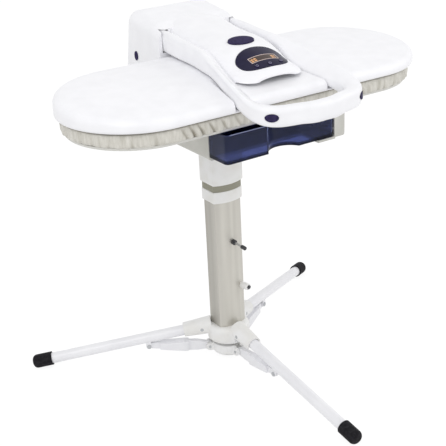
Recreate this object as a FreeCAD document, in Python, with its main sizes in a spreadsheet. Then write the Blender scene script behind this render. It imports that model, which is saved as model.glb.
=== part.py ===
import FreeCAD, Part
import math
import os
import Sketcher
from FreeCAD import Placement, Rotation, Vector

# Steam ironing press on a folding tripod column stand, millimetres.
# Working frame of the pieces: column axis at x = y = 0, floor at z = 0, front towards -Y.
# Every piece is then moved back by column_y, so that the box of the whole is centred.

os.makedirs("parts", exist_ok=True)
doc = FreeCAD.newDocument("ironing_press")
dims = doc.addObject("Spreadsheet::Sheet", "dims")

SIZES = {
    # pressing board and platen
    "column_y": 110.6, "board_length": 798.0, "board_depth": 296.0, "board_y": -99.0,
    "pad_top": 674.6, "pad_bottom": 646.0, "pan_bottom": 640.0, "pan_inset": 9.0,
    "plate_bottom": 675.0, "plate_thick": 9.0, "plate_inset": 20.0,
    "cover_bottom": 676.0, "cover_bulge": 7.0, "cover_top": 704.0, "cover_tilt": 4.5,
    "cover_wall": 3.0, "dome_drop": 5.5, "shoulder_radius": 14.0,
    # stand
    "column_half_x": 34.5, "column_flat": 20.0, "column_bow": 10.0, "column_wall": 2.5,
    "column_bottom": 88.0, "column_top": 397.0, "collar_top": 423.0, "bumper_top": 438.0,
    "sleeve_top": 566.0, "mast_bottom": 205.0, "mast_gap": 0.5, "mast_wall": 2.0,
    "hub_radius": 50.0, "hub_bottom": 46.0, "slider_radius": 16.0, "slider_top": 360.0,
    "pivot_r": 62.0, "pivot_z": 76.0, "foot_r": 456.0, "foot_z": 13.5,
    "leg_radius": 12.5, "leg_wall": 1.5, "leg_start": 14.0, "leg_end": 388.0,
    "foot_radius": 15.8, "foot_start": 357.0, "foot_end": 403.0,
    "strut_along": 130.0, "strut_below": 20.0, "strut_thick": 10.0,
    "strut_width": 20.0,
    "lower_r": 45.0, "lower_z": 26.0, "lower_core": 27.5, "lower_gap": 12.0,
    "lower_bowl": 39.0, "sleeve_radius": 17.5, "slot_radius": 13.8,
    # base and tank
    "base_half": 148.0, "base_bottom": 570.0, "base_top": 639.8, "base_front": -188.0,
    "base_back": 196.0, "deck_z": 622.0, "base_wall": 3.0,
    "cheek_inner": 116.0, "cheek_front": -246.0,
    "tank_left": -147.0, "tank_right": 114.5, "tank_front": -248.0, "tank_back": -72.0,
    "tank_bottom": 578.0, "tank_top": 635.0, "tank_wall": 2.5, "recess_x": -13.0, "recess_radius": 40.5, "recess_depth": 24.0,
    # arm, hinge and handle
    "hinge_y": 158.0, "hinge_z": 704.0, "hinge_radius": 7.0, "tower_half": 100.0,
    "arm_half": 76.0, "arm_wall": 3.0, "bracket_x": 58.0, "bracket_thick": 5.0,
    "handle_pivot_y": 66.0, "handle_pivot_z": 747.0,
    "panel_y": -163.0, "panel_z": 745.2, "panel_slope": 22.0,
    "lens_long": 110.0, "lens_short": 71.0,
    "steam_y": -95.0, "steam_z": 763.0, "steam_slope": 8.0, "steam_long": 60.0, "steam_short": 38.0,
}
for row, (word, value) in enumerate(SIZES.items(), start=1):
    dims.set("A%d" % row, word)
    dims.set("B%d" % row, str(value))
    dims.setAlias("B%d" % row, word)
doc.recompute()


def size(word):
    return float(dims.get(word))


NODES = []
DEPTHS = {}


def put(prop_owner, prop, value):
    """A number is set; a string is bound as an expression."""
    if isinstance(value, str):
        prop_owner.setExpression(prop, value)
    else:
        target = prop_owner
        words = prop.split(".")
        if len(words) == 1:
            setattr(target, prop, value)
        elif words[:2] == ["Placement", "Base"]:
            base = Vector(target.Placement.Base)
            setattr(base, words[2], value)
            target.Placement = Placement(base, target.Placement.Rotation)


def move(thing, x=0, y=0, z=0, turn=None):
    if turn is not None:
        thing.Placement = Placement(thing.Placement.Base, turn)
    put(thing, "Placement.Base.x", x)
    put(thing, "Placement.Base.y", y)
    put(thing, "Placement.Base.z", z)
    DEPTHS[thing.Name] = y
    return thing


def node(thing, label, turn=0.0):
    """The finished piece: its label names its file, and it stands on the column's axis."""
    thing.Label = label
    if thing.TypeId == "Part::Cylinder":
        thing.setExpression("Placement.Base.y", "dims.column_y + (%s)" % DEPTHS[thing.Name])
    else:
        thing.Placement = Placement(Vector(0, 0, 0), Rotation(Vector(0, 0, 1), turn))
        thing.setExpression("Placement.Base.y", "dims.column_y")
    NODES.append(thing)
    return thing


def box(name, corner, length, width, height, turn=None):
    thing = doc.addObject("Part::Box", name)
    put(thing, "Length", length)
    put(thing, "Width", width)
    put(thing, "Height", height)
    return move(thing, *corner, turn=turn)


TO_X = Rotation(Vector(0, 1, 0), 90)
TO_FRONT = Rotation(Vector(1, 0, 0), 90)
TO_BACK = Rotation(Vector(1, 0, 0), -90)


def rod(name, radius, height, start, turn=None):
    thing = doc.addObject("Part::Cylinder", name)
    put(thing, "Radius", radius)
    put(thing, "Height", height)
    return move(thing, *start, turn=turn)


def cut(name, base, *tools):
    thing = doc.addObject("Part::Cut", name)
    thing.Base = base
    thing.Tool = tools[0] if len(tools) == 1 else fuse(name + "_tools", *tools)
    return thing


def fuse(name, *pieces):
    thing = doc.addObject("Part::MultiFuse", name)
    thing.Shapes = list(pieces)
    return thing


def group(name, *pieces):
    thing = doc.addObject("Part::Compound", name)
    thing.Links = list(pieces)
    return thing


def new_body(name):
    return doc.addObject("PartDesign::Body", name)


def new_sketch(body, name, role="XY_Plane"):
    sketch = body.newObject("Sketcher::SketchObject", name)
    plane = [f for f in body.Origin.OriginFeatures if f.Role == role][0]
    sketch.AttachmentSupport = (plane, [""])
    sketch.MapMode = "FlatFace"
    return sketch


def pad(body, sketch, name, length, reverse=False):
    feature = body.newObject("PartDesign::Pad", name)
    feature.Profile = sketch
    feature.Reversed = reverse
    put(feature, "Length", length)
    return feature


def stadium(sketch, straight, radius):
    """A slot outline of half length straight + radius, centred on the sketch origin."""
    a = size("board_length") / 2 - size("board_depth") / 2
    r = size("board_depth") / 2
    z = Vector(0, 0, 1)
    top = sketch.addGeometry(Part.LineSegment(Vector(a, r, 0), Vector(-a, r, 0)))
    left = sketch.addGeometry(Part.ArcOfCircle(Part.Circle(Vector(-a, 0, 0), z, r), math.pi / 2, 1.5 * math.pi))
    low = sketch.addGeometry(Part.LineSegment(Vector(-a, -r, 0), Vector(a, -r, 0)))
    right = sketch.addGeometry(Part.ArcOfCircle(Part.Circle(Vector(a, 0, 0), z, r), -math.pi / 2, math.pi / 2))
    sketch.addConstraint(Sketcher.Constraint("Tangent", top, 2, left, 1))
    sketch.addConstraint(Sketcher.Constraint("Tangent", left, 2, low, 1))
    sketch.addConstraint(Sketcher.Constraint("Tangent", low, 2, right, 1))
    sketch.addConstraint(Sketcher.Constraint("Tangent", right, 2, top, 1))
    sketch.addConstraint(Sketcher.Constraint("Horizontal", top))
    sketch.addConstraint(Sketcher.Constraint("Equal", left, right))
    sketch.addConstraint(Sketcher.Constraint("Symmetric", left, 3, right, 3, -1, 1))
    index = sketch.addConstraint(Sketcher.Constraint("DistanceX", left, 3, right, 3, 2 * a))
    sketch.setExpression("Constraints[%d]" % index, straight)
    index = sketch.addConstraint(Sketcher.Constraint("Radius", right, r))
    sketch.setExpression("Constraints[%d]" % index, radius)


STRAIGHT = "dims.board_length - dims.board_depth"


def board_body(label, inset, bottom, height):
    """A stadium plate of the pressing board, drawn in by inset on all sides."""
    body = new_body(label)
    sketch = new_sketch(body, label + "_outline")
    stadium(sketch, STRAIGHT, "dims.board_depth / 2 - %s" % inset)
    sketch.setExpression("AttachmentOffset.Base.y", "dims.board_y")
    sketch.setExpression("AttachmentOffset.Base.z", bottom)
    doc.recompute()
    pad(body, sketch, label + "_pad", height)
    doc.recompute()
    return body


def edges_at(shape, test):
    """Names of the edges whose middle point passes the test."""
    names = []
    for number, edge in enumerate(shape.Edges, start=1):
        if test(edge.CenterOfMass):
            names.append("Edge%d" % number)
    return names


def round_edges(body, name, radius, test):
    tip = body.Tip
    feature = body.newObject("PartDesign::Fillet", name)
    feature.Base = (tip, edges_at(tip.Shape, test))
    feature.Radius = radius
    doc.recompute()
    return feature


def column_outline(sketch, half_x, flat, bow):
    """Two flat sides and a bowed front and back."""
    front = Part.Arc(Vector(-half_x, -flat, 0), Vector(0, -flat - bow, 0), Vector(half_x, -flat, 0))
    back = Part.Arc(Vector(half_x, flat, 0), Vector(0, flat + bow, 0), Vector(-half_x, flat, 0))
    first = sketch.addGeometry(front)
    right = sketch.addGeometry(Part.LineSegment(Vector(half_x, -flat, 0), Vector(half_x, flat, 0)))
    second = sketch.addGeometry(back)
    left = sketch.addGeometry(Part.LineSegment(Vector(-half_x, flat, 0), Vector(-half_x, -flat, 0)))
    loop = [first, right, second, left]
    for here, there in ((right, second), (left, first)):
        sketch.addConstraint(Sketcher.Constraint("Coincident", here, 2, there, 1))
    return loop


def tube_body(label, outer, inner, bottom, height):
    """A column-shaped ring: outer and inner are (half_x, flat, bow) in millimetres."""
    body = new_body(label)
    sketch = new_sketch(body, label + "_section")
    column_outline(sketch, *outer)
    if inner:
        column_outline(sketch, *inner)
    sketch.setExpression("AttachmentOffset.Base.z", bottom)
    doc.recompute()
    pad(body, sketch, label + "_pad", height)
    doc.recompute()
    return body


def rounded(name, base, radius, test):
    """A Part fillet on the edges whose middle passes the test."""
    doc.recompute()
    thing = doc.addObject("Part::Fillet", name)
    thing.Base = base
    thing.Edges = [(k, radius, radius) for k, edge in enumerate(base.Shape.Edges, start=1)
                   if test(edge.CenterOfMass)]
    doc.recompute()
    return thing


# Column: extruded outer tube, its collar, and the mast that telescopes in it.
half_x, flat, bow = size("column_half_x"), size("column_flat"), size("column_bow")
wall = size("column_wall")
bore = (half_x - wall, flat - 0.7 * wall, bow - 0.3 * wall)
gap = size("mast_gap")
mast = (bore[0] - gap, bore[1] - gap, bore[2])
mast_bore = (mast[0] - size("mast_wall"), mast[1] - size("mast_wall"), mast[2])
outer_column = tube_body("column_extrusion", (half_x, flat, bow), bore, "dims.column_bottom",
                         "dims.column_top - dims.column_bottom")
column_collar = tube_body("column_collar", (half_x + 3, flat + 3, bow + 0.5),
                          (mast[0] + gap, mast[1] + gap, mast[2]), "dims.column_top",
                          "dims.collar_top - dims.column_top")
round_edges(column_collar, "collar_round", 2.5, lambda p: p.z > size("collar_top") - 0.1 and
            (abs(p.x) > half_x + 1 or abs(p.y) > flat + bow + 1))
inner_mast = tube_body("inner_mast", mast, mast_bore, "dims.mast_bottom",
                       "dims.sleeve_top - dims.mast_bottom")
bumper_ring = tube_body("bumper_ring", (half_x + 2, flat + 2, bow + 0.5), mast, "dims.collar_top + 0.3",
                        "dims.bumper_top - dims.collar_top - 0.3")
mount_sleeve = tube_body("mount_sleeve", (half_x + 5, flat + 5, bow + 1), mast, "dims.bumper_top",
                         "dims.sleeve_top - dims.bumper_top")
round_edges(mount_sleeve, "sleeve_round", 4.0, lambda p: p.z < size("bumper_top") + 0.1 and
            (abs(p.x) > half_x + 2 or abs(p.y) > flat + bow + 2))

# Height lock pin at the front of the column: it clamps against the mast.
front_y = flat + bow
pin_x, pin_z = 4.0, 298.0
bush_blank = rod("bush_blank", 6.0, 10.0, (pin_x, -front_y + 2.4, pin_z), TO_FRONT)
bush_bore = rod("bush_bore", 2.55, 40.0, (pin_x, -front_y + 10.0, pin_z), TO_FRONT)
node(cut("bush_bored", bush_blank, bush_bore), "height_pin_bush")
node(rod("pin_rod", 2.5, 43.0, (pin_x, -front_y + 2.4, pin_z), TO_FRONT), "height_pin")
tip_blank = rod("tip_blank", 4.5, 12.0, (pin_x, -front_y - 34.6, pin_z), TO_FRONT)
tip_bore = rod("tip_bore", 2.5, 6.0, (pin_x, -front_y - 34.6, pin_z), TO_FRONT)
node(cut("tip_bored", tip_blank, tip_bore), "height_pin_tip")

# Fold lock knob low on the column: a sprung plunger in a threaded boss.
knob_x, knob_z = 26.0, 182.0
knob_turn = Rotation(Vector(0, 0, 1), 12.0).multiply(TO_FRONT)
knob_way = knob_turn.multVec(Vector(0, 0, 1))
knob_seat = Vector(knob_x, -front_y + 5.0, knob_z)


def along_knob(distance):
    return knob_seat + knob_way * distance


boss_blank = rod("boss_blank", 7.0, 9.0, tuple(along_knob(-3.0)), knob_turn)
boss_bore = rod("boss_bore", 3.05, 60.0, tuple(along_knob(-20.0)), knob_turn)
node(cut("boss_bored", boss_blank, boss_bore), "lock_boss")
knob_rod = rod("knob_rod", 8.0, 15.0, tuple(along_knob(6.6)), knob_turn)
knob_blank = rounded("knob_blank", knob_rod, 2.5, lambda p: (p - along_knob(21.6)).Length < 1)
knob_bore = rod("knob_bore", 3.0, 11.0, tuple(along_knob(6.0)), knob_turn)
node(cut("knob_bored", knob_blank, knob_bore), "lock_knob")
node(rod("plunger", 3.0, 20.0, tuple(along_knob(-3.0)), knob_turn), "lock_plunger")
node(rod("knob_end", 4.5, 2.5, tuple(along_knob(21.6)), knob_turn), "lock_knob_cap")

pin_hole = rod("pin_hole", 6.0, 20.0, (pin_x, -front_y + 10.0, pin_z), TO_FRONT)
boss_hole = rod("boss_hole", 7.0, 40.0, tuple(along_knob(-10.0)), knob_turn)
node(cut("column_drilled", outer_column, pin_hole, boss_hole), "outer_column")
node(column_collar, "column_collar")
node(inner_mast, "inner_mast")
node(bumper_ring, "bumper_ring")
node(mount_sleeve, "mount_sleeve")

# Tripod. Each leg is drawn in its own plane, +X outwards, and turned to its place in plan.
LEGS = {"front": -90.0, "right": 30.0, "left": 150.0}
slope = math.degrees(math.atan2(size("pivot_z") - size("foot_z"), size("foot_r") - size("pivot_r")))
ALONG = Rotation(Vector(0, 1, 0), slope)
LEG_TUBE = ALONG.multiply(TO_X)
pivot = Vector(size("pivot_r"), 0, size("pivot_z"))


def on_leg(along, below=0.0, side=0.0):
    return pivot + ALONG.multVec(Vector(along, side, -below))


CROSS = Rotation(Vector(1, 0, 0), 90)
strut_outer = on_leg(size("strut_along"), size("strut_below"))
strut_inner = Vector(size("lower_r"), 0, size("lower_z"))
strut_run = strut_outer - strut_inner
strut_slope = -math.degrees(math.atan2(strut_run.z, strut_run.x))
STRUT = Rotation(Vector(0, 1, 0), strut_slope)
STRUT_TUBE = STRUT.multiply(TO_X)


def on_strut(along, up=0.0, side=0.0):
    return strut_inner + STRUT.multVec(Vector(along, side, up))


def cross_rod(name, radius, width, centre):
    return rod(name, radius, width, (centre.x, centre.y + width / 2, centre.z), CROSS)


# Half height of the strut along its length, from the lower hub's pin to the leg's.
STRUT_TAPER = ((0.0, 7.5), (30.0, 12.5), (60.0, 12.5), (strut_run.Length, 6.0))


def strut_half(along):
    for (start, first), (end, last) in zip(STRUT_TAPER, STRUT_TAPER[1:]):
        if along <= end:
            return first + (last - first) * (along - start) / (end - start)
    return STRUT_TAPER[-1][1]


def strut_side(body, name, start, end, share, width):
    """The strut's tapered side view between two places, drawn in the leg's plane and made width thick."""
    sketch = new_sketch(body, name, "XZ_Plane")
    places = [start] + [at for at, half in STRUT_TAPER if start < at < end] + [end]
    rim = [on_strut(at, share * strut_half(at)) for at in places]
    rim += [on_strut(at, -share * strut_half(at)) for at in reversed(places)]
    corners = [Vector(point.x, point.z, 0) for point in rim]
    for here, there in zip(corners, corners[1:] + corners[:1]):
        sketch.addGeometry(Part.LineSegment(here, there))
    doc.recompute()
    feature = pad(body, sketch, name + "_pad", width)
    feature.Midplane = True
    doc.recompute()


arms, arm_slots, pins, lugs, lug_slots, stubs = [], [], [], [], [], []
for side, plan in LEGS.items():
    spin = Rotation(Vector(0, 0, 1), plan)
    # leg tube with the two ears for its strut
    skin = rod("leg_skin_" + side, "dims.leg_radius", "dims.leg_end - dims.leg_start",
               tuple(on_leg(size("leg_start"))), LEG_TUBE)
    hollow = rod("leg_hollow_" + side, "dims.leg_radius - dims.leg_wall", 420.0, tuple(on_leg(0.0)), LEG_TUBE)
    ears = []
    for hand in (-1, 1):
        middle = on_leg(size("strut_along"), size("strut_below"), hand * 7.5)
        eye = cross_rod("ear_eye_%s_%d" % (side, hand), 6.5, 3.0, middle)
        plate = box("ear_plate_%s_%d" % (side, hand),
                    tuple(on_leg(size("strut_along") - 6.5, size("strut_below"), hand * 7.5 - 1.5)),
                    13.0, 3.0, 12.0, ALONG)
        ears += [eye, plate]
    eared = fuse("leg_eared_" + side, skin, *ears)
    ear_hole = cross_rod("ear_hole_" + side, 3.0, 60.0, strut_outer)
    node(cut("leg_" + side, eared, hollow, ear_hole), "leg_" + side, plan)
    # knuckle in the tube's inner end, on the pivot pin
    tongue = box("tongue_" + side, tuple(on_leg(0.0, 10.0, -9.0)), 14.0, 18.0, 20.0, ALONG)
    nose = cross_rod("tongue_nose_" + side, 10.0, 18.0, on_leg(0.0))
    plug = rod("plug_" + side, "dims.leg_radius - dims.leg_wall", 30.0, tuple(on_leg(12.0)), LEG_TUBE)
    knuckle = fuse("knuckle_blank_" + side, tongue, nose, plug)
    node(cut("knuckle_" + side, knuckle, cross_rod("knuckle_hole_" + side, 4.05, 60.0, on_leg(0.0))),
         "leg_knuckle_" + side, plan)
    # rubber foot, rounded at its end and flat where it stands
    foot = rod("foot_blank_" + side, "dims.foot_radius", "dims.foot_end - dims.foot_start",
               tuple(on_leg(size("foot_start"))), LEG_TUBE)
    domed = doc.addObject("Part::Fillet", "foot_round_" + side)
    domed.Base = foot
    doc.recompute()
    far = max(range(len(foot.Shape.Edges)), key=lambda k: foot.Shape.Edges[k].CenterOfMass.x
              if isinstance(foot.Shape.Edges[k].Curve, Part.Circle) else -1.0)
    domed.Edges = [(far + 1, 11.0, 11.0)]
    socket = rod("foot_socket_" + side, "dims.leg_radius", "dims.leg_end - dims.foot_start",
                 tuple(on_leg(size("foot_start"))), LEG_TUBE)
    floor = box("foot_floor_" + side, (300.0, -60.0, -40.0), 300.0, 120.0, 40.0)
    node(cut("foot_" + side, domed, socket, floor), "foot_" + side, plan)
    # strut: a deep plate that tapers towards the leg, widened to a channel between its two tongues
    length = strut_run.Length
    plate = new_body("strut_plate_" + side)
    strut_side(plate, "strut_plate_side_" + side, 0.0, length, 1.0, size("strut_thick"))
    channel = new_body("strut_channel_" + side)
    strut_side(channel, "strut_channel_side_" + side, 50.0, length - 26.0, 1.0, size("strut_width"))
    trough = new_body("strut_trough_" + side)
    strut_side(trough, "strut_trough_side_" + side, 52.0, length - 28.0, 0.7, size("strut_width") - 4.0)
    trough.Placement = Placement(STRUT.multVec(Vector(0, 0, -9.0)), Rotation(0, 0, 0))
    inner_eye = cross_rod("strut_eye_in_" + side, 7.5, 10.0, strut_inner)
    outer_eye = cross_rod("strut_eye_out_" + side, 6.5, 10.0, strut_outer)
    strut = fuse("strut_blank_" + side, plate, cut("strut_shell_" + side, channel, trough), inner_eye, outer_eye)
    node(cut("strut_" + side, strut, cross_rod("strut_hole_in_" + side, 3.05, 60.0, strut_inner),
             cross_rod("strut_hole_out_" + side, 3.05, 60.0, strut_outer)), "strut_" + side, plan)
    shank = cross_rod("strut_pin_shank_" + side, 3.0, 18.0, strut_outer)
    heads = [cross_rod("strut_pin_head_%s_%d" % (side, hand), 5.0, 2.0, strut_outer + Vector(0, hand * 10.0, 0))
             for hand in (-1, 1)]
    node(fuse("strut_pin_" + side, shank, *heads), "strut_pin_" + side, plan)
    # what this leg needs in the two hubs, drawn in the leg's plane and turned
    sleeve = doc.addObject("Part::Cone", "sleeve_" + side)
    sleeve.Radius1 = size("sleeve_radius") + 3.5
    sleeve.Radius2 = size("sleeve_radius")
    sleeve.Height = 66.0
    move(sleeve, *on_leg(-24.0), turn=LEG_TUBE)
    for holder, made in (
            (arms, sleeve),
            (arm_slots, rod("arm_bore_" + side, "dims.slot_radius", 90.0, tuple(on_leg(-12.5)), LEG_TUBE)),
            (arm_slots, box("arm_slot_" + side, tuple(on_leg(-12.5, 44.0, -size("slot_radius"))), 90.0,
                            "2 * dims.slot_radius", 44.0, ALONG)),
            (pins, cross_rod("pivot_pin_" + side, 4.0, 40.0, on_leg(0.0))),
            (lugs, cross_rod("lug_eye_" + side, 9.0, 26.0, strut_inner)),
            (lugs, box("lug_" + side, (20.0, -13.0, size("lower_z") - 9.0), "dims.lower_r - 20", 26.0, 18.0)),
            (lug_slots, box("lug_slot_" + side, (size("lower_core"), -size("lower_gap") / 2, 0.0), 40.0,
                            "dims.lower_gap", 60.0)),
            (stubs, cross_rod("stub_a_" + side, 3.0, 9.0, strut_inner + Vector(0, 10.5, 0))),
            (stubs, cross_rod("stub_b_" + side, 3.0, 9.0, strut_inner - Vector(0, 10.5, 0)))):
        made.Placement = Placement(Vector(0, 0, 0), spin).multiply(made.Placement)
        holder.append(made)

# Leg hub: a turned core under the column with three open channels, plugged into the column.
core_rod = rod("hub_core", "dims.hub_radius", "dims.column_bottom - dims.hub_bottom", (0, 0, "dims.hub_bottom"))
core = rounded("hub_round", core_rod, 12.0, lambda p: p.x * p.x + p.y * p.y < 1)
plug_body = tube_body("hub_plug", bore, None, "dims.column_bottom", 26.0)
hub_blank = fuse("hub_blank", core, plug_body, *arms)
hub_bore = rod("hub_bore", "dims.slider_radius + 0.08", 200.0, (0, 0, 0))
hub_holes = [rod("hub_hole_%d" % k, 4.0, 60.0, (0, 0, 0)) for k in range(3)]
for hole, pin in zip(hub_holes, pins):
    hole.Placement = Placement(pin.Placement.Base, pin.Placement.Rotation)
    shift = pin.Placement.Rotation.multVec(Vector(0, 0, -10))
    hole.Placement.Base = pin.Placement.Base + shift
column_seat = tube_body("column_seat", (half_x + 0.05, flat + 0.05, bow), bore, "dims.column_bottom", 40.0)
hub = cut("hub_finished", hub_blank, hub_bore, column_seat, *(arm_slots + hub_holes))
node(hub, "leg_hub")
node(group("pivot_pins", *pins), "leg_pivot_pins")

# Lower hub on the slider tube: three forks, open below, for the inner ends of the struts.
low_rod = rod("low_core", "dims.lower_bowl", 27.0, (0, 0, "dims.lower_z - 15"))
low_core = rounded("low_bowl", low_rod, 9.0, lambda p: p.z < size("lower_z"))
low_blank = fuse("low_blank", low_core, *lugs)
low_bore = rod("low_bore", "dims.slider_radius", 80.0, (0, 0, 0))
stub_holes = []
for stub in stubs:
    hole = rod(stub.Name + "_hole", 3.0, 9.0, (0, 0, 0))
    hole.Placement = Placement(stub.Placement.Base, stub.Placement.Rotation)
    stub_holes.append(hole)
node(cut("low_finished", low_blank, low_bore, *(lug_slots + stub_holes)), "lower_hub")
node(group("stub_pins", *stubs), "lower_hub_pins")
slider_skin = rod("slider_skin", "dims.slider_radius", "dims.slider_top - 16", (0, 0, 16.0))
slider_hollow = rod("slider_hollow", "dims.slider_radius - 1.5", 500.0, (0, 0, 0))
node(cut("slider", slider_skin, slider_hollow), "slider_tube")
doc.recompute()


def shaped(name, shape, label):
    """A piece whose free form has no feature of its own."""
    thing = doc.addObject("Part::Feature", name)
    thing.Shape = shape
    own = Placement(shape.Placement)
    node(thing, label)
    thing.Placement = Placement(own.Base, own.Rotation)
    thing.setExpression("Placement.Base.y", "dims.column_y + (%.6f)" % own.Base.y)
    return thing


# Base housing: shell under the board with the tank bay at the left front, the pump bay cheek at
# the right and a low deck behind the board for the hinge bracket.
under_board = box("under_board", ("-dims.base_half", "dims.base_front", "dims.base_bottom"),
                  "2 * dims.base_half", "66 - dims.base_front", "dims.base_top - dims.base_bottom")
deck = box("deck", ("-dims.base_half", 60.0, "dims.base_bottom"), "2 * dims.base_half",
           "dims.base_back - 60", "dims.deck_z - dims.base_bottom")
cheek = box("cheek", ("dims.cheek_inner", "dims.cheek_front", "dims.base_bottom + 4"),
            "dims.base_half - dims.cheek_inner", "dims.base_front - dims.cheek_front + 6",
            "dims.base_top - dims.base_bottom - 4")
lip = box("lip", (75.0, "dims.cheek_front", "dims.base_bottom + 1"), "dims.cheek_inner - 73", 70.0, 5.0)
cheek_round = rounded("cheek_round", cheek, 11.0, lambda p: p.x > size("base_half") - 1 and
                      (p.y < size("cheek_front") + 1 or p.z < size("base_bottom") + 5))
deck_round = rounded("deck_round", deck, 20.0, lambda p: abs(p.y - size("base_back")) < 1 and
                     abs(p.z - (size("base_bottom") + size("deck_z")) / 2) < 1)
flange = box("flange", ("-dims.base_half - 9", "dims.base_front + 12", "dims.base_top - 7"),
             "2 * dims.base_half + 18", "40 - dims.base_front", 7.0)
housing_blank = fuse("housing_blank", under_board, deck_round, cheek_round, lip, flange)
housing_round = rounded("housing_round", housing_blank, 7.0, lambda p: p.z < size("base_bottom") + 0.5 and
                        abs(p.x) > size("base_half") - 0.5 and p.y < 66)
bay = box("bay", ("-dims.base_half + dims.base_wall", "dims.base_front - 70", "dims.base_bottom + 6.5"),
          "dims.base_half - dims.base_wall + dims.cheek_inner - dims.base_wall", 192.0, 60.3)
rear_room = box("rear_room", ("-dims.base_half + dims.base_wall", -63.0, "dims.base_bottom + 3"),
                "2 * dims.base_half - 2 * dims.base_wall", 126.0, 63.8)
pump_room = box("pump_room", ("dims.cheek_inner", "dims.cheek_front + 3", "dims.base_bottom + 7"),
                "dims.base_half - dims.cheek_inner - dims.base_wall", 200.0, 59.8)
deck_room = box("deck_room", ("-dims.base_half + dims.base_wall", 60.0, "dims.base_bottom + 3"),
                "2 * dims.base_half - 2 * dims.base_wall", "dims.base_back - 63",
                "dims.deck_z - dims.base_bottom - 6")
inlet_hole = rod("inlet_hole", 9.0, 20.0, (-100.0, "dims.base_back - 10", 596.0), TO_BACK)
node(cut("housing", housing_round, bay, rear_room, pump_room, deck_room, inlet_hole), "base_housing")

# Mains cord gland at the back of the housing; the cord itself is not in the photograph.
gland_skirt = rod("gland_skirt", 13.0, 3.0, (-100.0, "dims.base_back", 596.0), TO_BACK)
gland_neck = doc.addObject("Part::Cone", "gland_neck")
gland_neck.Radius1, gland_neck.Radius2, gland_neck.Height = 9.0, 6.0, 34.0
move(gland_neck, -100.0, "dims.base_back - 3", 596.0, TO_BACK)
gland_bore = rod("gland_bore", 3.6, 60.0, (-100.0, "dims.base_back - 10", 596.0), TO_BACK)
node(cut("gland", fuse("gland_blank", gland_skirt, gland_neck), gland_bore), "cord_gland")

# Pump in the rear room, on the housing's floor.
pump_body = rod("pump_body", 18.0, 62.0, (70.0, -30.0, 592.0), TO_BACK)
pump_foot = box("pump_foot", (54.0, -20.0, "dims.base_bottom + 3"), 32.0, 40.0, 10.0)
pump_port = rod("pump_port", 4.0, 18.0, (70.0, 32.0, 592.0), TO_BACK)
node(fuse("pump_whole", pump_body, pump_foot, pump_port), "pump")

# Mount plate between the sleeve and the housing, with its four screws.
plate_blank = box("mount_blank", (-72.0, -52.0, "dims.sleeve_top"), 144.0, 104.0,
                  "dims.base_bottom - dims.sleeve_top")
mount_round = rounded("mount_round", plate_blank, 14.0, lambda p: abs(abs(p.x) - 72) < 0.1 and
                      abs(abs(p.y) - 52) < 0.1)
screw_holes, screws = [], []
for x in (-56.0, 56.0):
    for y in (-38.0, 38.0):
        screw_holes.append(rod("screw_hole", 3.0, 20.0, (x, y, "dims.sleeve_top - 5")))
        shank = rod("screw_shank", 3.0, "dims.base_bottom - dims.sleeve_top", (x, y, "dims.sleeve_top"))
        head = rod("screw_head", 5.5, 3.5, (x, y, "dims.sleeve_top - 3.5"))
        screws.append(fuse("screw", shank, head))
node(cut("mount", mount_round, *screw_holes), "mount_plate")
node(group("screws", *screws), "mount_screws")

# Water tank: an open drawer, wider in front of the housing than inside it, with a finger recess
# down the middle of its front that the wall follows.
tank_front = box("tank_front", ("dims.tank_left", "dims.tank_front", "dims.tank_bottom"),
                 "dims.tank_right - dims.tank_left", "dims.base_front - dims.tank_front - 1",
                 "dims.tank_top - dims.tank_bottom")
tank_rear = box("tank_rear", ("dims.tank_left + 3", "dims.base_front - 10", "dims.tank_bottom"),
                "dims.tank_right - dims.tank_left - 5", "dims.tank_back - dims.base_front + 10",
                "dims.tank_top - dims.tank_bottom")
tank_corners = rounded("tank_corners", tank_front, 9.0, lambda p: p.y < size("tank_front") + 0.5 and
                       abs(p.x - (size("tank_left") + size("tank_right")) / 2) > 100)
tank_blank = fuse("tank_blank", tank_corners, tank_rear)
front_room = box("front_room", ("dims.tank_left + dims.tank_wall", "dims.tank_front + dims.tank_wall",
                                "dims.tank_bottom + dims.tank_wall"),
                 "dims.tank_right - dims.tank_left - 2 * dims.tank_wall", 54.0, 80.0)
back_room = box("back_room", ("dims.tank_left + 3 + dims.tank_wall", "dims.base_front - 10",
                              "dims.tank_bottom + dims.tank_wall"),
                "dims.tank_right - dims.tank_left - 5 - 2 * dims.tank_wall",
                "dims.tank_back - dims.base_front + 10 - dims.tank_wall", 80.0)
front_corners = rounded("front_corners", front_room, 6.5, lambda p: p.y < size("tank_front") + 4 and
                        abs(p.x - (size("tank_left") + size("tank_right")) / 2) > 100)
recess_at = ("dims.recess_x", "dims.tank_front + dims.recess_depth - dims.recess_radius", "dims.tank_bottom - 5")
recess = rod("recess", "dims.recess_radius", 80.0, recess_at)
recess_wall = rod("recess_wall", "dims.recess_radius + dims.tank_wall", 110.0, recess_at)
front_space = cut("front_space", front_corners, recess_wall)
valve_hole = rod("valve_hole", 6.0, 12.0, (70.0, "dims.tank_back - 6", 592.0), TO_BACK)
hollow_tank = cut("hollow_tank", tank_blank, front_space, back_room)
node(cut("tank", hollow_tank, recess, valve_hole), "water_tank")
node(rod("valve", 6.0, 7.0, (70.0, "dims.tank_back - 3", 592.0), TO_BACK), "tank_valve")

# Pressing board: steel pan and the padded cover, whose sides draw in below the rim.
pan = board_body("board_pan", "dims.pan_inset", "dims.pan_bottom", "dims.pad_bottom - dims.pan_bottom")
round_edges(pan, "pan_round", 4.0, lambda p: p.z < size("pan_bottom") + 0.1)
node(pan, "board_pan")
pad_piece = board_body("board_pad", "0", "dims.pad_bottom", "dims.pad_top - dims.pad_bottom")
round_edges(pad_piece, "pad_rim", 5.0, lambda p: p.z > size("pad_top") - 0.1)
round_edges(pad_piece, "pad_tuck", 9.0, lambda p: p.z < size("pad_bottom") + 0.1)
node(pad_piece, "board_pad")

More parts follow.
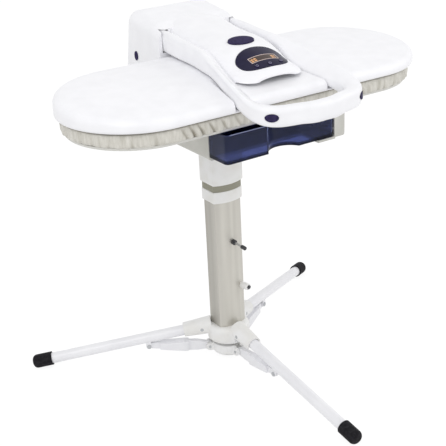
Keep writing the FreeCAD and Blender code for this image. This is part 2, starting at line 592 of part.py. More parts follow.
# Heating plate with rows of steam holes in its face, and the element cast on its back.
plate = board_body("heating_plate", "dims.plate_inset", "dims.plate_bottom", "dims.plate_thick")
holes = new_sketch(plate, "steam_holes")
holes.setExpression("AttachmentOffset.Base.y", "dims.board_y")
holes.setExpression("AttachmentOffset.Base.z", "dims.plate_bottom")
for column in range(-5, 6):
    for line in (-1, 1):
        spread = 78.0 if column % 2 else 42.0
        holes.addGeometry(Part.Circle(Vector(column * 62.0, line * spread, 0), Vector(0, 0, 1), 2.2))
doc.recompute()
steam = plate.newObject("PartDesign::Pocket", "steam_pocket")
steam.Profile = holes
steam.Length = 5.0
steam.Reversed = True
doc.recompute()
node(plate, "heating_plate")
element_z = size("plate_bottom") + size("plate_thick") + 4.0
bends, runs = [], []
for hand in (-1, 1):
    bend = doc.addObject("Part::Torus", "bend_%d" % (hand + 1))
    bend.Radius1, bend.Radius2, bend.Angle3 = 78.0, 4.0, 180.0
    turn = Rotation(Vector(0, 0, 1), -90.0 if hand > 0 else 90.0)
    bends.append(move(bend, hand * 200.0, "dims.board_y", element_z, turn))
    runs.append(rod("run_%d" % (hand + 1), 4.0, 400.0, (-200.0, size("board_y") + hand * 78.0, element_z), TO_X))
node(fuse("element", *(bends + runs)), "heating_element")

# Platen cover: a stadium wall with a rounded rim, under a wide crown that rises towards the hinge.
axis = Vector(0, 0, 1)
reach = size("board_depth") / 2
edge_r = reach + size("cover_bulge")
straight = (size("board_length") - size("board_depth")) / 2
skin = size("cover_wall")


def cover_section(inset):
    """Half of the platen's section in (r, z): a wide crown, a round shoulder and a straight wall."""
    shoulder, drop, top_z = size("shoulder_radius"), size("dome_drop"), size("cover_top")
    crown = ((edge_r - shoulder) ** 2 + drop ** 2) / (2 * drop)
    lean = math.asin((edge_r - shoulder) / (crown - shoulder))
    middle = Vector((crown - shoulder) * math.sin(lean), 0, top_z - crown + (crown - shoulder) * math.cos(lean))
    corner, dome = shoulder - inset, crown - inset
    start = Vector(0, 0, top_z - inset)
    dome_mid = Vector(dome * math.sin(lean / 2), 0, top_z - crown + dome * math.cos(lean / 2))
    joint = middle + Vector(corner * math.sin(lean), 0, corner * math.cos(lean))
    turn = (math.pi / 2 + lean) / 2
    corner_mid = middle + Vector(corner * math.sin(turn), 0, corner * math.cos(turn))
    side = middle + Vector(corner, 0, 0)
    foot = Vector(side.x, 0, size("cover_bottom") - 40)
    centre = Vector(0, 0, foot.z)
    edges = [Part.Arc(start, dome_mid, joint).toShape(), Part.Arc(joint, corner_mid, side).toShape(),
             Part.makeLine(side, foot), Part.makeLine(foot, centre), Part.makeLine(centre, start)]
    return Part.Face(Part.Wire(edges))


def platen_block(inset, floor):
    """The section along the board and round its ends, leaning up towards the hinge, cut off at a floor."""
    face = cover_section(inset)
    pieces = []
    for way in (-90, 90):
        half = face.copy()
        half.rotate(Vector(0, 0, 0), axis, way)
        half.translate(Vector(-straight, size("board_y"), 0))
        pieces.append(half.extrude(Vector(2 * straight, 0, 0)))
        end = face.copy()
        end.rotate(Vector(0, 0, 0), axis, way)
        end = end.revolve(Vector(0, 0, 0), axis, 180)
        end.translate(Vector(straight if way < 0 else -straight, size("board_y"), 0))
        pieces.append(end)
    block = pieces[0].fuse(pieces[1:]).removeSplitter()
    block.rotate(Vector(0, size("board_y") - edge_r, size("cover_bottom")), Vector(1, 0, 0), size("cover_tilt"))
    return block.common(Part.makeBox(1000, 600, 200, Vector(-500, size("board_y") - 300, floor)))


platen_form = platen_block(0.0, size("cover_bottom"))
lip = [edge for edge in platen_form.Edges if edge.BoundBox.ZMax < size("cover_bottom") + 0.1]
platen_form = platen_form.makeFillet(size("cover_bulge"), lip)
plate_gap = platen_block(skin + size("cover_bulge"), size("cover_bottom") - 2.0)
cover = platen_form.cut([platen_block(skin, size("cover_bottom") + 8.0), plate_gap])
doc.recompute()

# Hinge: bracket on the deck, leaning forward so that the tower's back wall swings past it.
hinge_y, hinge_z = size("hinge_y"), size("hinge_z")
bracket_parts = []
for hand in (-1, 1):
    body = new_body("bracket_cheek_%d" % (hand + 1))
    sketch = new_sketch(body, "cheek_outline_%d" % (hand + 1), "YZ_Plane")
    rear, front, crown = Vector(hinge_y + 15, hinge_z, 0), Vector(hinge_y - 15, hinge_z, 0), hinge_z + 15
    foot_rear, foot_front = Vector(150.0, size("deck_z"), 0), Vector(96.0, size("deck_z"), 0)
    sketch.addGeometry(Part.LineSegment(foot_front, foot_rear))
    sketch.addGeometry(Part.LineSegment(foot_rear, rear))
    sketch.addGeometry(Part.Arc(rear, Vector(hinge_y, crown, 0), front))
    sketch.addGeometry(Part.LineSegment(front, foot_front))
    sketch.setExpression("AttachmentOffset.Base.z", "%d * dims.bracket_x - dims.bracket_thick / 2" % hand)
    doc.recompute()
    pad(body, sketch, "cheek_pad_%d" % (hand + 1), "dims.bracket_thick")
    bracket_parts.append(body)
doc.recompute()
bracket_parts.append(box("bracket_base", (-66.0, 94.0, "dims.deck_z"), 132.0, 58.0, 4.0))
bracket_hole = rod("bracket_hole", "dims.hinge_radius", 300.0, (-150.0, "dims.hinge_y", "dims.hinge_z"), TO_X)
node(cut("bracket", fuse("bracket_blank", *bracket_parts), bracket_hole), "hinge_bracket")
node(rod("hinge_rod", "dims.hinge_radius", 178.0, (-89.0, "dims.hinge_y", "dims.hinge_z"), TO_X), "hinge_pin")

# Arm frame: two steel side plates from the hinge to four studs on the heating plate.
frame_parts = []
for hand in (-1, 1):
    body = new_body("frame_side_%d" % (hand + 1))
    sketch = new_sketch(body, "frame_outline_%d" % (hand + 1), "YZ_Plane")
    rim = [Vector(hinge_y - 6, hinge_z - 14, 0), Vector(100, 727.5, 0), Vector(-128, 727.5, 0),
           Vector(-128, 735, 0), Vector(-90, 748, 0), Vector(100, 758, 0), Vector(hinge_y + 6, hinge_z + 14, 0)]
    for a, b in zip(rim, rim[1:]):
        sketch.addGeometry(Part.LineSegment(a, b))
    sketch.addGeometry(Part.Arc(rim[-1], Vector(hinge_y + 15.2, hinge_z, 0), rim[0]))
    sketch.setExpression("AttachmentOffset.Base.z", "%d * 48 - 2" % hand)
    doc.recompute()
    pad(body, sketch, "frame_pad_%d" % (hand + 1), 4.0)
    frame_parts.append(body)
doc.recompute()
frame_parts.append(box("frame_foot", (-50.0, -128.0, 727.5), 100.0, 178.0, 3.0))
studs = [(x, y) for x in (-36.0, 36.0) for y in (-115.0, 35.0)]
for x, y in studs:
    frame_parts.append(rod("stud", 5.0, 44.5, (x, y, "dims.plate_bottom + dims.plate_thick")))
frame_hole = rod("frame_hole", "dims.hinge_radius + 0.06", 300.0, (-150.0, "dims.hinge_y", "dims.hinge_z"), TO_X)
frame_shaft = rod("frame_shaft", 6.06, 300.0, (-150.0, "dims.handle_pivot_y", "dims.handle_pivot_z"), TO_X)
node(cut("frame", fuse("frame_blank", *frame_parts), frame_hole, frame_shaft), "arm_frame")

# Arm cover: lofted from cross-sections of superelliptic shoulders with a crowned top.
# Each station is (y, half width, lower edge, shoulder height, crown height).
ARM_STATIONS = [(95.0, 75.0, 700.0, 779.0, 787.5), (20.0, 75.0, 700.0, 770.0, 778.5),
                (-50.0, 75.0, 700.0, 762.5, 770.0), (-105.0, 75.0, 700.0, 753.0, 762.5),
                (-135.0, 75.0, 700.0, 738.0, 755.0), (-160.0, 75.0, 702.0, 724.0, 746.5),
                (-186.0, 74.0, 705.0, 719.5, 736.0), (-203.0, 67.0, 706.0, 717.0, 727.5),
                (-214.0, 50.0, 707.0, 715.5, 720.0)]


def arm_wire(y, half, low, side, crown, inset=0.0, drop_low=0.0):
    half, side, crown = half - inset, side - inset, crown - inset
    low = low - drop_low
    points = []
    for step in range(17):
        turn = math.pi * step / 16
        reach_x = math.copysign(abs(math.cos(turn)) ** 0.36, math.cos(turn))
        lift = abs(math.sin(turn)) ** 0.36
        if step in (0, 16):
            lift = 0.0
        x = half * reach_x
        bulge = (crown - side) * (1 - reach_x * reach_x)
        points.append(Vector(x, y, low + (side - low) * lift + bulge * lift))
    curve = Part.BSplineCurve()
    curve.interpolate(points)
    return Part.Wire([curve.toShape(), Part.makeLine(points[-1], points[0])])


def arm_loft(inset=0.0, drop_low=0.0):
    return Part.makeLoft([arm_wire(*station, inset, drop_low) for station in ARM_STATIONS], True)


arm_outer = arm_loft()
arm_inner = arm_loft(size("arm_wall"), 6.0)

# Tower behind the arm: a tapered block with a crowned top, hollow and open below.
tower_half = size("tower_half")


def tower_block(inset):
    side = [Vector(0, 58 + inset, 664), Vector(0, 222 - inset, 664), Vector(0, 199 - inset, 777 - inset),
            Vector(0, 160, 797 - inset), Vector(0, 84, 786 - inset), Vector(0, 58 + inset, 776 - inset)]
    back = Part.Arc(side[2], Vector(0, 186 - inset, 793 - inset), side[3]).toShape()
    edges = [Part.makeLine(side[0], side[1]), Part.makeLine(side[1], side[2]), back,
             Part.makeLine(side[3], side[4]), Part.makeLine(side[4], side[5]), Part.makeLine(side[5], side[0])]
    block = Part.Face(Part.Wire(edges)).extrude(Vector(2 * (tower_half - inset), 0, 0))
    block.translate(Vector(-(tower_half - inset), 0, 0))
    return block


tower = tower_block(0.0)
long_edges = [e for e in tower.Edges if abs(e.CenterOfMass.x) > tower_half - 1 and e.CenterOfMass.z > 700 and
              e.CenterOfMass.y > 70]
tower = tower.makeFillet(24.0, long_edges)
room = tower_block(size("arm_wall"))
room_edges = [e for e in room.Edges if abs(e.CenterOfMass.x) > tower_half - 4 and e.CenterOfMass.z > 700 and
              e.CenterOfMass.y > 70]
room = room.makeFillet(21.0, room_edges)
room.translate(Vector(0, 0, -0.5))
arm_solid = tower.fuse(arm_outer).cut(room.fuse(arm_inner))
# The cover stands on the platen: its lower edge follows the dome, and it clears the board's back edge.
seat = platen_form.copy()
seat.translate(Vector(0, 0, 0.2))
board_room = Part.makeBox(400, 2 * edge_r + 1, 60, Vector(-200, size("board_y") - edge_r - 0.5, 638))
# The panel's front edge is a lip that stands clear above the platen.
lip_side = [Vector(-120, -168, 660), Vector(-120, -168, 701), Vector(-120, -182, 711.5), Vector(-120, -250, 711.5),
            Vector(-120, -250, 660), Vector(-120, -168, 660)]
lip_gap = Part.Face(Part.makePolygon(lip_side)).extrude(Vector(240, 0, 0))
arm_solid = arm_solid.cut([seat, board_room, lip_gap])

# Handle: a loop lofted through sections whose four corners are given for one side:
# (outer x, outer y, inner x, inner y, outer top, inner top, outer low, inner low).
HANDLE_STATIONS = [
    (91.0, 80.0, 78.0, 80.0, 773.0, 773.0, 729.0, 729.0),
    (91.5, 45.0, 78.0, 45.0, 772.5, 772.0, 728.0, 728.0),
    (95.0, -20.0, 78.0, -20.0, 767.0, 765.5, 724.0, 724.0),
    (98.0, -80.0, 78.2, -80.0, 762.0, 759.5, 720.0, 720.0),
    (104.0, -125.0, 78.5, -125.0, 755.0, 746.0, 717.5, 717.0),
    (111.0, -170.0, 79.0, -166.0, 744.5, 722.0, 708.0, 706.0),
    (119.0, -217.0, 85.0, -208.0, 733.0, 709.0, 690.5, 692.5),
    (126.0, -262.0, 93.0, -250.0, 722.0, 702.0, 680.5, 684.0),
    (127.0, -300.0, 95.0, -285.0, 710.0, 699.5, 671.0, 674.0),
    (113.0, -331.0, 84.0, -310.0, 703.5, 699.5, 665.0, 666.0),
    (72.0, -353.0, 60.0, -327.0, 701.5, 701.0, 663.5, 665.5),
    (34.0, -364.0, 30.0, -336.3, 701.0, 701.5, 663.0, 665.0),
    (0.0, -367.0, 0.0, -339.0, 701.0, 701.5, 663.0, 665.0),
]


def handle_wire(outer_x, outer_y, inner_x, inner_y, outer_top, inner_top, outer_low, inner_low, hand=1):
    points = []
    for step in range(16):
        turn = 2 * math.pi * step / 16 + math.pi / 16
        u = math.copysign(abs(math.cos(turn)) ** 0.5, math.cos(turn)) / 2 + 0.5
        v = math.copysign(abs(math.sin(turn)) ** 0.5, math.sin(turn)) / 2 + 0.5
        x = inner_x + (outer_x - inner_x) * u
        y = inner_y + (outer_y - inner_y) * u
        top = inner_top + (outer_top - inner_top) * u
        low = inner_low + (outer_low - inner_low) * u
        points.append(Vector(hand * x, y, low + (top - low) * v))
    curve = Part.BSplineCurve()
    curve.interpolate(points, PeriodicFlag=True)
    return Part.Wire(curve.toShape())


past_middle = [handle_wire(*station, hand=-1) for station in HANDLE_STATIONS[-2:-4:-1]]
half_loop = Part.makeLoft([handle_wire(*station) for station in HANDLE_STATIONS] + past_middle, True)
half_loop = half_loop.common(Part.makeBox(200, 600, 200, Vector(0, -450, 620)))
handle_solid = half_loop.fuse(half_loop.mirror(Vector(0, 0, 0), Vector(1, 0, 0))).removeSplitter()
handle_pivot = Vector(0, size("handle_pivot_y"), size("handle_pivot_z"))
cross_bore = Part.makeCylinder(6.0, 200, handle_pivot - Vector(100, 0, 0), Vector(1, 0, 0))

# The handle's back ends sit in pockets of the tower's sides, on one cross shaft.
pockets = []
for hand in (-1, 1):
    pocket = Part.makeBox(92.3 - 76.4, 110, 48, Vector(76.4 if hand > 0 else -92.3, -16, 726.4))
    pockets.append(pocket)
shaft_hole = Part.makeCylinder(6.06, 184, handle_pivot - Vector(92, 0, 0), Vector(1, 0, 0))
arm_solid = arm_solid.cut(pockets + [shaft_hole])

# Control panel: oval openings in the arm cover for the lens and the steam button.
LENS_FULLNESS = 0.6
lens_at = Vector(0, size("panel_y"), size("panel_z"))
lens_turn = Rotation(Vector(1, 0, 0), size("panel_slope"))
steam_turn = Rotation(Vector(1, 0, 0), size("steam_slope"))


def oval_prism(centre, turn, long_size, short_size, below, above):
    ring = Part.Ellipse(Vector(0, 0, 0), long_size / 2, short_size / 2).toShape()
    prism = Part.Face(Part.Wire(ring)).extrude(Vector(0, 0, below + above))
    prism.translate(Vector(0, 0, -below))
    prism.Placement = Placement(centre, turn).multiply(prism.Placement)
    return prism


def lens_prism(shrink, below, above):
    """The window: half an ellipse above, and below it a fuller curve with soft lower corners."""
    a, b = size("lens_long") / 2 - shrink, size("lens_short") / 2 - shrink
    upper = Part.ArcOfEllipse(Part.Ellipse(Vector(0, 0, 0), a, b), 0, math.pi).toShape()
    points = []
    for step in range(13):
        turn = math.pi * (1 + step / 12)
        across = math.copysign(abs(math.cos(turn)) ** LENS_FULLNESS, math.cos(turn))
        points.append(Vector(a * across, -b * abs(math.sin(turn)) ** LENS_FULLNESS, 0))
    points[0], points[-1] = Vector(-a, 0, 0), Vector(a, 0, 0)
    curve = Part.BSplineCurve()
    curve.interpolate(points, InitialTangent=Vector(0, -1, 0), FinalTangent=Vector(0, 1, 0))
    prism = Part.Face(Part.Wire([upper, curve.toShape()])).extrude(Vector(0, 0, below + above))
    prism.translate(Vector(0, 0, -below))
    prism.Placement = Placement(lens_at, lens_turn).multiply(prism.Placement)
    return prism


def raised(shape, turn, rise):
    copy = shape.copy()
    copy.translate(turn.multVec(Vector(0, 0, rise)))
    return copy


steam_at = Vector(0, size("steam_y"), size("steam_z"))
steam_long, steam_short = size("steam_long"), size("steam_short")
lens_hole = lens_prism(0.0, 22, 20)
steam_hole = oval_prism(steam_at, steam_turn, steam_long, steam_short, 14, 14)
lens_block = lens_prism(0.2, 22, 20)
lens_solid = lens_block.common(raised(arm_outer, lens_turn, 0.9)).cut(raised(arm_outer, lens_turn, -3.0))
steam_block = oval_prism(steam_at, steam_turn, steam_long - 1.0, steam_short - 1.0, 14, 14)
steam_solid = steam_block.common(raised(arm_outer, steam_turn, 2.6)).cut(raised(arm_outer, steam_turn, -6.0))
KEY_PLACES = [(-27.0, -25.0), (2.0, -27.0), (31.0, -24.0)]
key_holes, key_solids = [], []
for across, down in KEY_PLACES:
    spot = lens_at + lens_turn.multVec(Vector(across, down, 0))
    way = lens_turn.multVec(Vector(0, 0, 1))
    key_holes.append(Part.makeCylinder(4.6, 40, spot - way * 20, way))
    key = Part.makeCylinder(4.2, 40, spot - way * 20, way)
    key_solids.append(key.common(raised(arm_outer, lens_turn, 2.0)).cut(raised(arm_outer, lens_turn, -5.0)))
lens_solid = lens_solid.cut(key_holes)
arm_solid = arm_solid.cut([lens_hole, steam_hole])
cap_solids, cap_seats = [], []
for hand in (-1, 1):
    turn = Rotation(Vector(0, 1, 0), 90 * hand)
    centre = Vector(hand * tower_half, hinge_y, hinge_z)
    cap_solids.append(oval_prism(centre, turn, 20, 14, 3.0, 1.6))
    cap_seats.append(oval_prism(centre, turn, 20, 14, 6.0, 5.0))
arm_solid = arm_solid.cut(cap_seats)
shaped("arm_cover_form", arm_solid, "arm_cover")
shaped("lens_form", lens_solid, "panel_lens")
shaped("steam_form", steam_solid, "steam_button")
for number, key in enumerate(key_solids, start=1):
    shaped("key_form_%d" % number, key, "panel_key_%d" % number)
shaped("cap_forms", Part.makeCompound(cap_solids), "hinge_caps")

# Display module and control board under the panel, parallel to the lens.
module = Part.makeBox(62, 26, 4, Vector(-31, -4, -12.4))
module.Placement = Placement(lens_at, lens_turn).multiply(module.Placement)
shaped("module_form", module, "lcd_module")
board = Part.makeBox(64, 32, 1.6, Vector(-32, -8, -14.0))
board.Placement = Placement(lens_at, lens_turn).multiply(board.Placement)
shaped("board_form", board, "control_board")

# Handle buttons: oval, on the outer face of the two front corners.
button_solids, button_holes = [], []
for hand in (-1, 1):
    way = Vector(hand * 0.5, -0.866, 0)
    turn = Rotation(Vector(0, 0, 1), way)
    centre = Vector(hand * 104, -334, 684)
    spin = math.degrees(math.atan2(turn.multVec(Vector(1, 0, 0)).z, turn.multVec(Vector(0, 1, 0)).z))
    turn = turn.multiply(Rotation(Vector(0, 0, 1), -spin))
    button = oval_prism(centre, turn, 25, 14.5, 16, 16)
    hole = oval_prism(centre, turn, 26, 15.5, 12, 16)
    raised_handle = handle_solid.copy()
    raised_handle.translate(way * 1.6)
    sunk_handle = handle_solid.copy()
    sunk_handle.translate(way * -6.0)
    button_solids.append(button.common(raised_handle).cut(sunk_handle))
    button_holes.append(hole)
handle_bored = handle_solid.cut([cross_bore] + button_holes)
shaped("handle_form", handle_bored, "handle")
shaped("button_left_form", button_solids[0], "handle_button_left")
shaped("button_right_form", button_solids[1], "handle_button_right")
shaft = Part.makeCylinder(6.0, 180, handle_pivot - Vector(90, 0, 0), Vector(1, 0, 0))
shaped("shaft_form", shaft, "handle_shaft")

# Platen cover with stud holes, and the two walled hollows in its front rim that the handle drops into.
stud_holes = [Part.makeCylinder(5.2, 60, Vector(x, y, 690), axis) for x, y in studs]
HOLLOW_GAP = 2.6
HOLLOW_SIDE = [(-300.0, 677.0), (-256.0, 679.0), (-228.0, 685.4), (-200.0, 692.0), (-165.0, 702.5),
               (-140.0, 711.0), (-128.0, 716.0)]


def hollow_block(hand, grow):
    """The space that one side of the handle takes in the platen cover: its side view and its plan."""
    floor = [Vector(0, y + grow, z - grow) for y, z in HOLLOW_SIDE]
    rim = floor + [Vector(0, floor[-1].y, 790), Vector(0, floor[0].y, 790), floor[0]]
    side_view = Part.Face(Part.makePolygon(rim)).extrude(Vector(160, 0, 0))
    inner = [Vector(s[2] - HOLLOW_GAP - grow, s[3], 660) for s in HANDLE_STATIONS[3:9]]
    outer = [Vector(s[0] + HOLLOW_GAP + grow, s[1], 660) for s in HANDLE_STATIONS[3:9]]
    plan = Part.makePolygon(inner + outer[::-1] + inner[:1])
    block = side_view.common(Part.Face(plan).extrude(Vector(0, 0, 140)))
    return block if hand > 0 else block.mirror(Vector(0, 0, 0), Vector(1, 0, 0))


lining = [platen_form.common(hollow_block(hand, 2.2)) for hand in (-1, 1)]
plate_room = Part.makeBox(400, 20, 12, Vector(-200, size("board_y") - reach + size("plate_inset") - 0.4, 672.4))
cover_solid = cover.fuse(lining).cut([hollow_block(hand, 0.0) for hand in (-1, 1)] + stud_holes + [plate_room])
shaped("cover_form", cover_solid, "platen_cover")

doc.recompute()
for thing in NODES:
    if "Invalid" in thing.State or "Error" in thing.State or thing.Shape.isNull() or not thing.Shape.isValid():
        raise RuntimeError("bad piece: %s %s" % (thing.Label, thing.State))
    thing.Shape.exportStep("parts/%s.step" % thing.Label)
total = Part.makeCompound([thing.Shape for thing in NODES]).BoundBox
print(len(NODES), "pieces", total)
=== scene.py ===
import math

import bpy
from mathutils import Matrix, Vector


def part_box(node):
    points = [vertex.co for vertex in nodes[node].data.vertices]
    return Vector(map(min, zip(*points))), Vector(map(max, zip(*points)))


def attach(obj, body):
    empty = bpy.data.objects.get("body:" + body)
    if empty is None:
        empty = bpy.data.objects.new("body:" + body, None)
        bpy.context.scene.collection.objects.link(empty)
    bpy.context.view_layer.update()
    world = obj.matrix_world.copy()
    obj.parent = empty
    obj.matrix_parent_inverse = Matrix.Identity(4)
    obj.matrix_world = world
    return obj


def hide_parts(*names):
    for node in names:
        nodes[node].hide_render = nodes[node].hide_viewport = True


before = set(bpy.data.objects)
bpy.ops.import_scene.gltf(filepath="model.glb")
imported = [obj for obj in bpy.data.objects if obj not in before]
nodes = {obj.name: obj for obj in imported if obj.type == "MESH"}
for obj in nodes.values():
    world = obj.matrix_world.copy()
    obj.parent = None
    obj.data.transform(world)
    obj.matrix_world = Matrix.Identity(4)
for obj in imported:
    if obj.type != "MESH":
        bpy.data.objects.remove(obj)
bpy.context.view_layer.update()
scene = bpy.context.scene
scene.view_settings.view_transform = "Standard"


# Camera: a long lens in front of the press, to its left and above the board, held a few degrees
# off level. The three directions are its right, up and back, as columns.
camera_data = bpy.data.cameras.new("camera")
camera_data.sensor_width = 36
camera_data.lens = 81.48
camera = bpy.data.objects.new("camera", camera_data)
scene.collection.objects.link(camera)
camera_place = Matrix.Translation((-1.128, -1.6204, 1.244))
right = Vector((0.8268, -0.5609, -0.0430))
up = Vector((0.2590, 0.3116, 0.9142))
back = Vector((-0.4994, -0.7669, 0.4029))
camera.matrix_world = camera_place @ Matrix((right, up, back)).transposed().to_4x4()
scene.camera = camera


# Studio: a pale paper floor under two soft boxes and an even sky. Seen by the camera, in gloss
# or through the tank, the sky and most of the floor are plain white; the floor keeps the shadow.
def linear(code):
    """A colour written as sRGB hex, turned to the linear values that sockets take."""
    parts = [int(code[i:i + 2], 16) / 255 for i in (0, 2, 4)]
    return tuple(p / 12.92 if p <= 0.04045 else ((p + 0.055) / 1.055) ** 2.4 for p in parts) + (1.0,)


def add(tree, kind, inputs=None, **settings):
    """A node with its settings; each input is a value, or the output socket to link it to."""
    made = tree.nodes.new(kind)
    for word, value in settings.items():
        setattr(made, word, value)
    for socket, value in (inputs or {}).items():
        if isinstance(value, bpy.types.NodeSocket):
            tree.links.new(value, made.inputs[socket])
        else:
            made.inputs[socket].default_value = value
    return made


def soft_box(word, stand, power):
    """A square lamp, 2.2 m wide, that is aimed at the middle of the press."""
    data = bpy.data.lights.new(word, "AREA")
    data.shape = "SQUARE"
    data.size = 2.2
    data.energy = power
    lamp = bpy.data.objects.new(word, data)
    aim = Vector((0, 0, 0.5)) - Vector(stand)
    lamp.matrix_world = Matrix.Translation(stand) @ aim.to_track_quat("-Z", "Y").to_matrix().to_4x4()
    scene.collection.objects.link(lamp)


def seen_plain(tree):
    """1 for rays that show the surroundings: from the camera, in gloss and through glass."""
    path = add(tree, "ShaderNodeLightPath")
    both = add(tree, "ShaderNodeMath", {0: path.outputs["Is Camera Ray"], 1: path.outputs["Is Glossy Ray"]},
               operation="MAXIMUM")
    return add(tree, "ShaderNodeMath", {0: both.outputs[0], 1: path.outputs["Is Transmission Ray"]},
               operation="MAXIMUM").outputs[0]


soft_box("key_box", (-2.0, -1.6, 3.0), 30)
soft_box("fill_box", (2.6, -1.6, 2.0), 20)

world = bpy.data.worlds.new("studio")
world.use_nodes = True
scene.world = world
sky = world.node_tree
sky.nodes.clear()
lit = add(sky, "ShaderNodeBackground", {"Color": linear("FFFFFF"), "Strength": 0.76})
shown = add(sky, "ShaderNodeBackground", {"Color": linear("FFFFFF"), "Strength": 1.0})
sky_mix = add(sky, "ShaderNodeMixShader", {0: seen_plain(sky), 1: lit.outputs[0], 2: shown.outputs[0]})
add(sky, "ShaderNodeOutputWorld", {"Surface": sky_mix.outputs[0]})

bpy.ops.object.select_all(action="DESELECT")
bpy.ops.mesh.primitive_plane_add(size=30, location=(0, 0, -0.0005))
floor = bpy.context.object
floor.name = "paper_floor"
paper = bpy.data.materials.new("pale_paper")
paper.use_nodes = True
tree = paper.node_tree
tree.nodes.clear()
matt = add(tree, "ShaderNodeBsdfDiffuse", {"Color": linear("F4F4F4")})
white = add(tree, "ShaderNodeEmission", {"Color": linear("FFFFFF"), "Strength": 1.1})
plain = add(tree, "ShaderNodeMath", {0: seen_plain(tree), 1: 0.82}, operation="MULTIPLY")
floor_mix = add(tree, "ShaderNodeMixShader", {0: plain.outputs[0], 1: matt.outputs[0], 2: white.outputs[0]})
add(tree, "ShaderNodeOutputMaterial", {"Surface": floor_mix.outputs[0]})
floor.data.materials.append(paper)


# Column: an aluminium extrusion, clear anodised, that stands in the leg hub. The die leaves fine
# lines along its length, and its flat sides are painted with shade, greyer than the bowed front.
def new_material(word, **values):
    """A material with one Principled shader; values are that shader's plain sockets."""
    material = bpy.data.materials.new(word)
    material.use_nodes = True
    shader = material.node_tree.nodes["Principled BSDF"]
    for socket, value in values.items():
        shader.inputs[socket.replace("_", " ")].default_value = value
    return material, material.node_tree, shader


def dress(material, *words):
    """Gives the named CAD nodes this material, in the slots that they have."""
    for word in words:
        for slot in nodes[word].material_slots:
            slot.material = material


anodised, tree, shader = new_material("anodised_aluminium", Metallic=0.55, Roughness=0.42)
where = add(tree, "ShaderNodeTexCoord")
place = where.outputs["Object"]
# Die lines about 0.8 mm apart across the column, and more than 100 mm long.
along = add(tree, "ShaderNodeMapping", {"Vector": place, "Scale": (1250, 1250, 9)})
lines = add(tree, "ShaderNodeTexNoise", {"Vector": along.outputs[0], "Scale": 1.0, "Detail": 3.0})
# Slow bands of warmer and cooler grey, about 25 mm wide, that anodising leaves along the column.
bands = add(tree, "ShaderNodeMapping", {"Vector": place, "Scale": (40, 40, 1.5)})
cloud = add(tree, "ShaderNodeTexNoise", {"Vector": bands.outputs[0], "Scale": 1.0, "Detail": 2.0})
tone = add(tree, "ShaderNodeValToRGB", {"Fac": cloud.outputs["Fac"]})
tone.color_ramp.elements[0].position = 0.3
tone.color_ramp.elements[0].color = linear("BDBAB2")
tone.color_ramp.elements[1].position = 0.7
tone.color_ramp.elements[1].color = linear("D8D5CD")
# Painted shade: the tone falls by a fifth as the wall turns to face left or right, so the side flats look
# greyer.
facing = add(tree, "ShaderNodeSeparateXYZ", {"Vector": where.outputs["Normal"]})
sideways = add(tree, "ShaderNodeMath", {0: facing.outputs["X"]}, operation="ABSOLUTE")
painted_side_shade = add(tree, "ShaderNodeMapRange", {"Value": sideways.outputs[0], "From Min": 0.2, "From Max": 0.8,
                                        "To Min": 1.0, "To Max": 0.8})
metal_with_painted_shade = add(tree, "ShaderNodeMix", {0: 1.0, 6: tone.outputs[0], 7: painted_side_shade.outputs[0]}, data_type="RGBA",
            blend_type="MULTIPLY")
tree.links.new(metal_with_painted_shade.outputs[2], shader.inputs["Base Color"])
gloss = add(tree, "ShaderNodeMapRange", {"Value": lines.outputs["Fac"], "To Min": 0.32, "To Max": 0.5})
tree.links.new(gloss.outputs[0], shader.inputs["Roughness"])
bump = add(tree, "ShaderNodeBump", {"Strength": 0.35, "Distance": 0.0002, "Height": lines.outputs["Fac"]})
tree.links.new(bump.outputs[0], shader.inputs["Normal"])
dress(anodised, "outer_column")


# White mouldings of the stand: collar, sleeve, hubs, lock boss and knob in glass-filled nylon,
# moulded with a fine spark texture that keeps them satin.
nylon, tree, shader = new_material("moulded_white_nylon", Roughness=0.42, IOR=1.5)
place = add(tree, "ShaderNodeTexCoord").outputs["Object"]
# Spark texture grains of about 0.6 mm, and a faint yellowing over patches of 40 mm.
grain = add(tree, "ShaderNodeTexNoise", {"Vector": place, "Scale": 1600, "Detail": 2.0})
patch = add(tree, "ShaderNodeTexNoise", {"Vector": place, "Scale": 25, "Detail": 2.0})
tone = add(tree, "ShaderNodeValToRGB", {"Fac": patch.outputs["Fac"]})
tone.color_ramp.elements[0].position = 0.35
tone.color_ramp.elements[0].color = linear("EAE9E6")
tone.color_ramp.elements[1].position = 0.65
tone.color_ramp.elements[1].color = linear("F1F1F1")
tree.links.new(tone.outputs[0], shader.inputs["Base Color"])
gloss = add(tree, "ShaderNodeMapRange", {"Value": grain.outputs["Fac"], "To Min": 0.36, "To Max": 0.5})
tree.links.new(gloss.outputs[0], shader.inputs["Roughness"])
bump = add(tree, "ShaderNodeBump", {"Strength": 0.25, "Distance": 0.00015, "Height": grain.outputs["Fac"]})
tree.links.new(bump.outputs[0], shader.inputs["Normal"])
dress(nylon, "column_collar", "mount_sleeve", "leg_hub", "lower_hub", "lock_boss", "lock_knob")


# Legs and struts: steel tube and plate, powder coated white. A leg hangs by its knuckle in a
# sleeve of the hub, and its strut is pinned to it below. The powder levels into an orange peel.
powder, tree, shader = new_material("white_powder_coat", Roughness=0.3, IOR=1.5, Coat_Weight=0.25,
                                    Coat_Roughness=0.2)
place = add(tree, "ShaderNodeTexCoord").outputs["Object"]
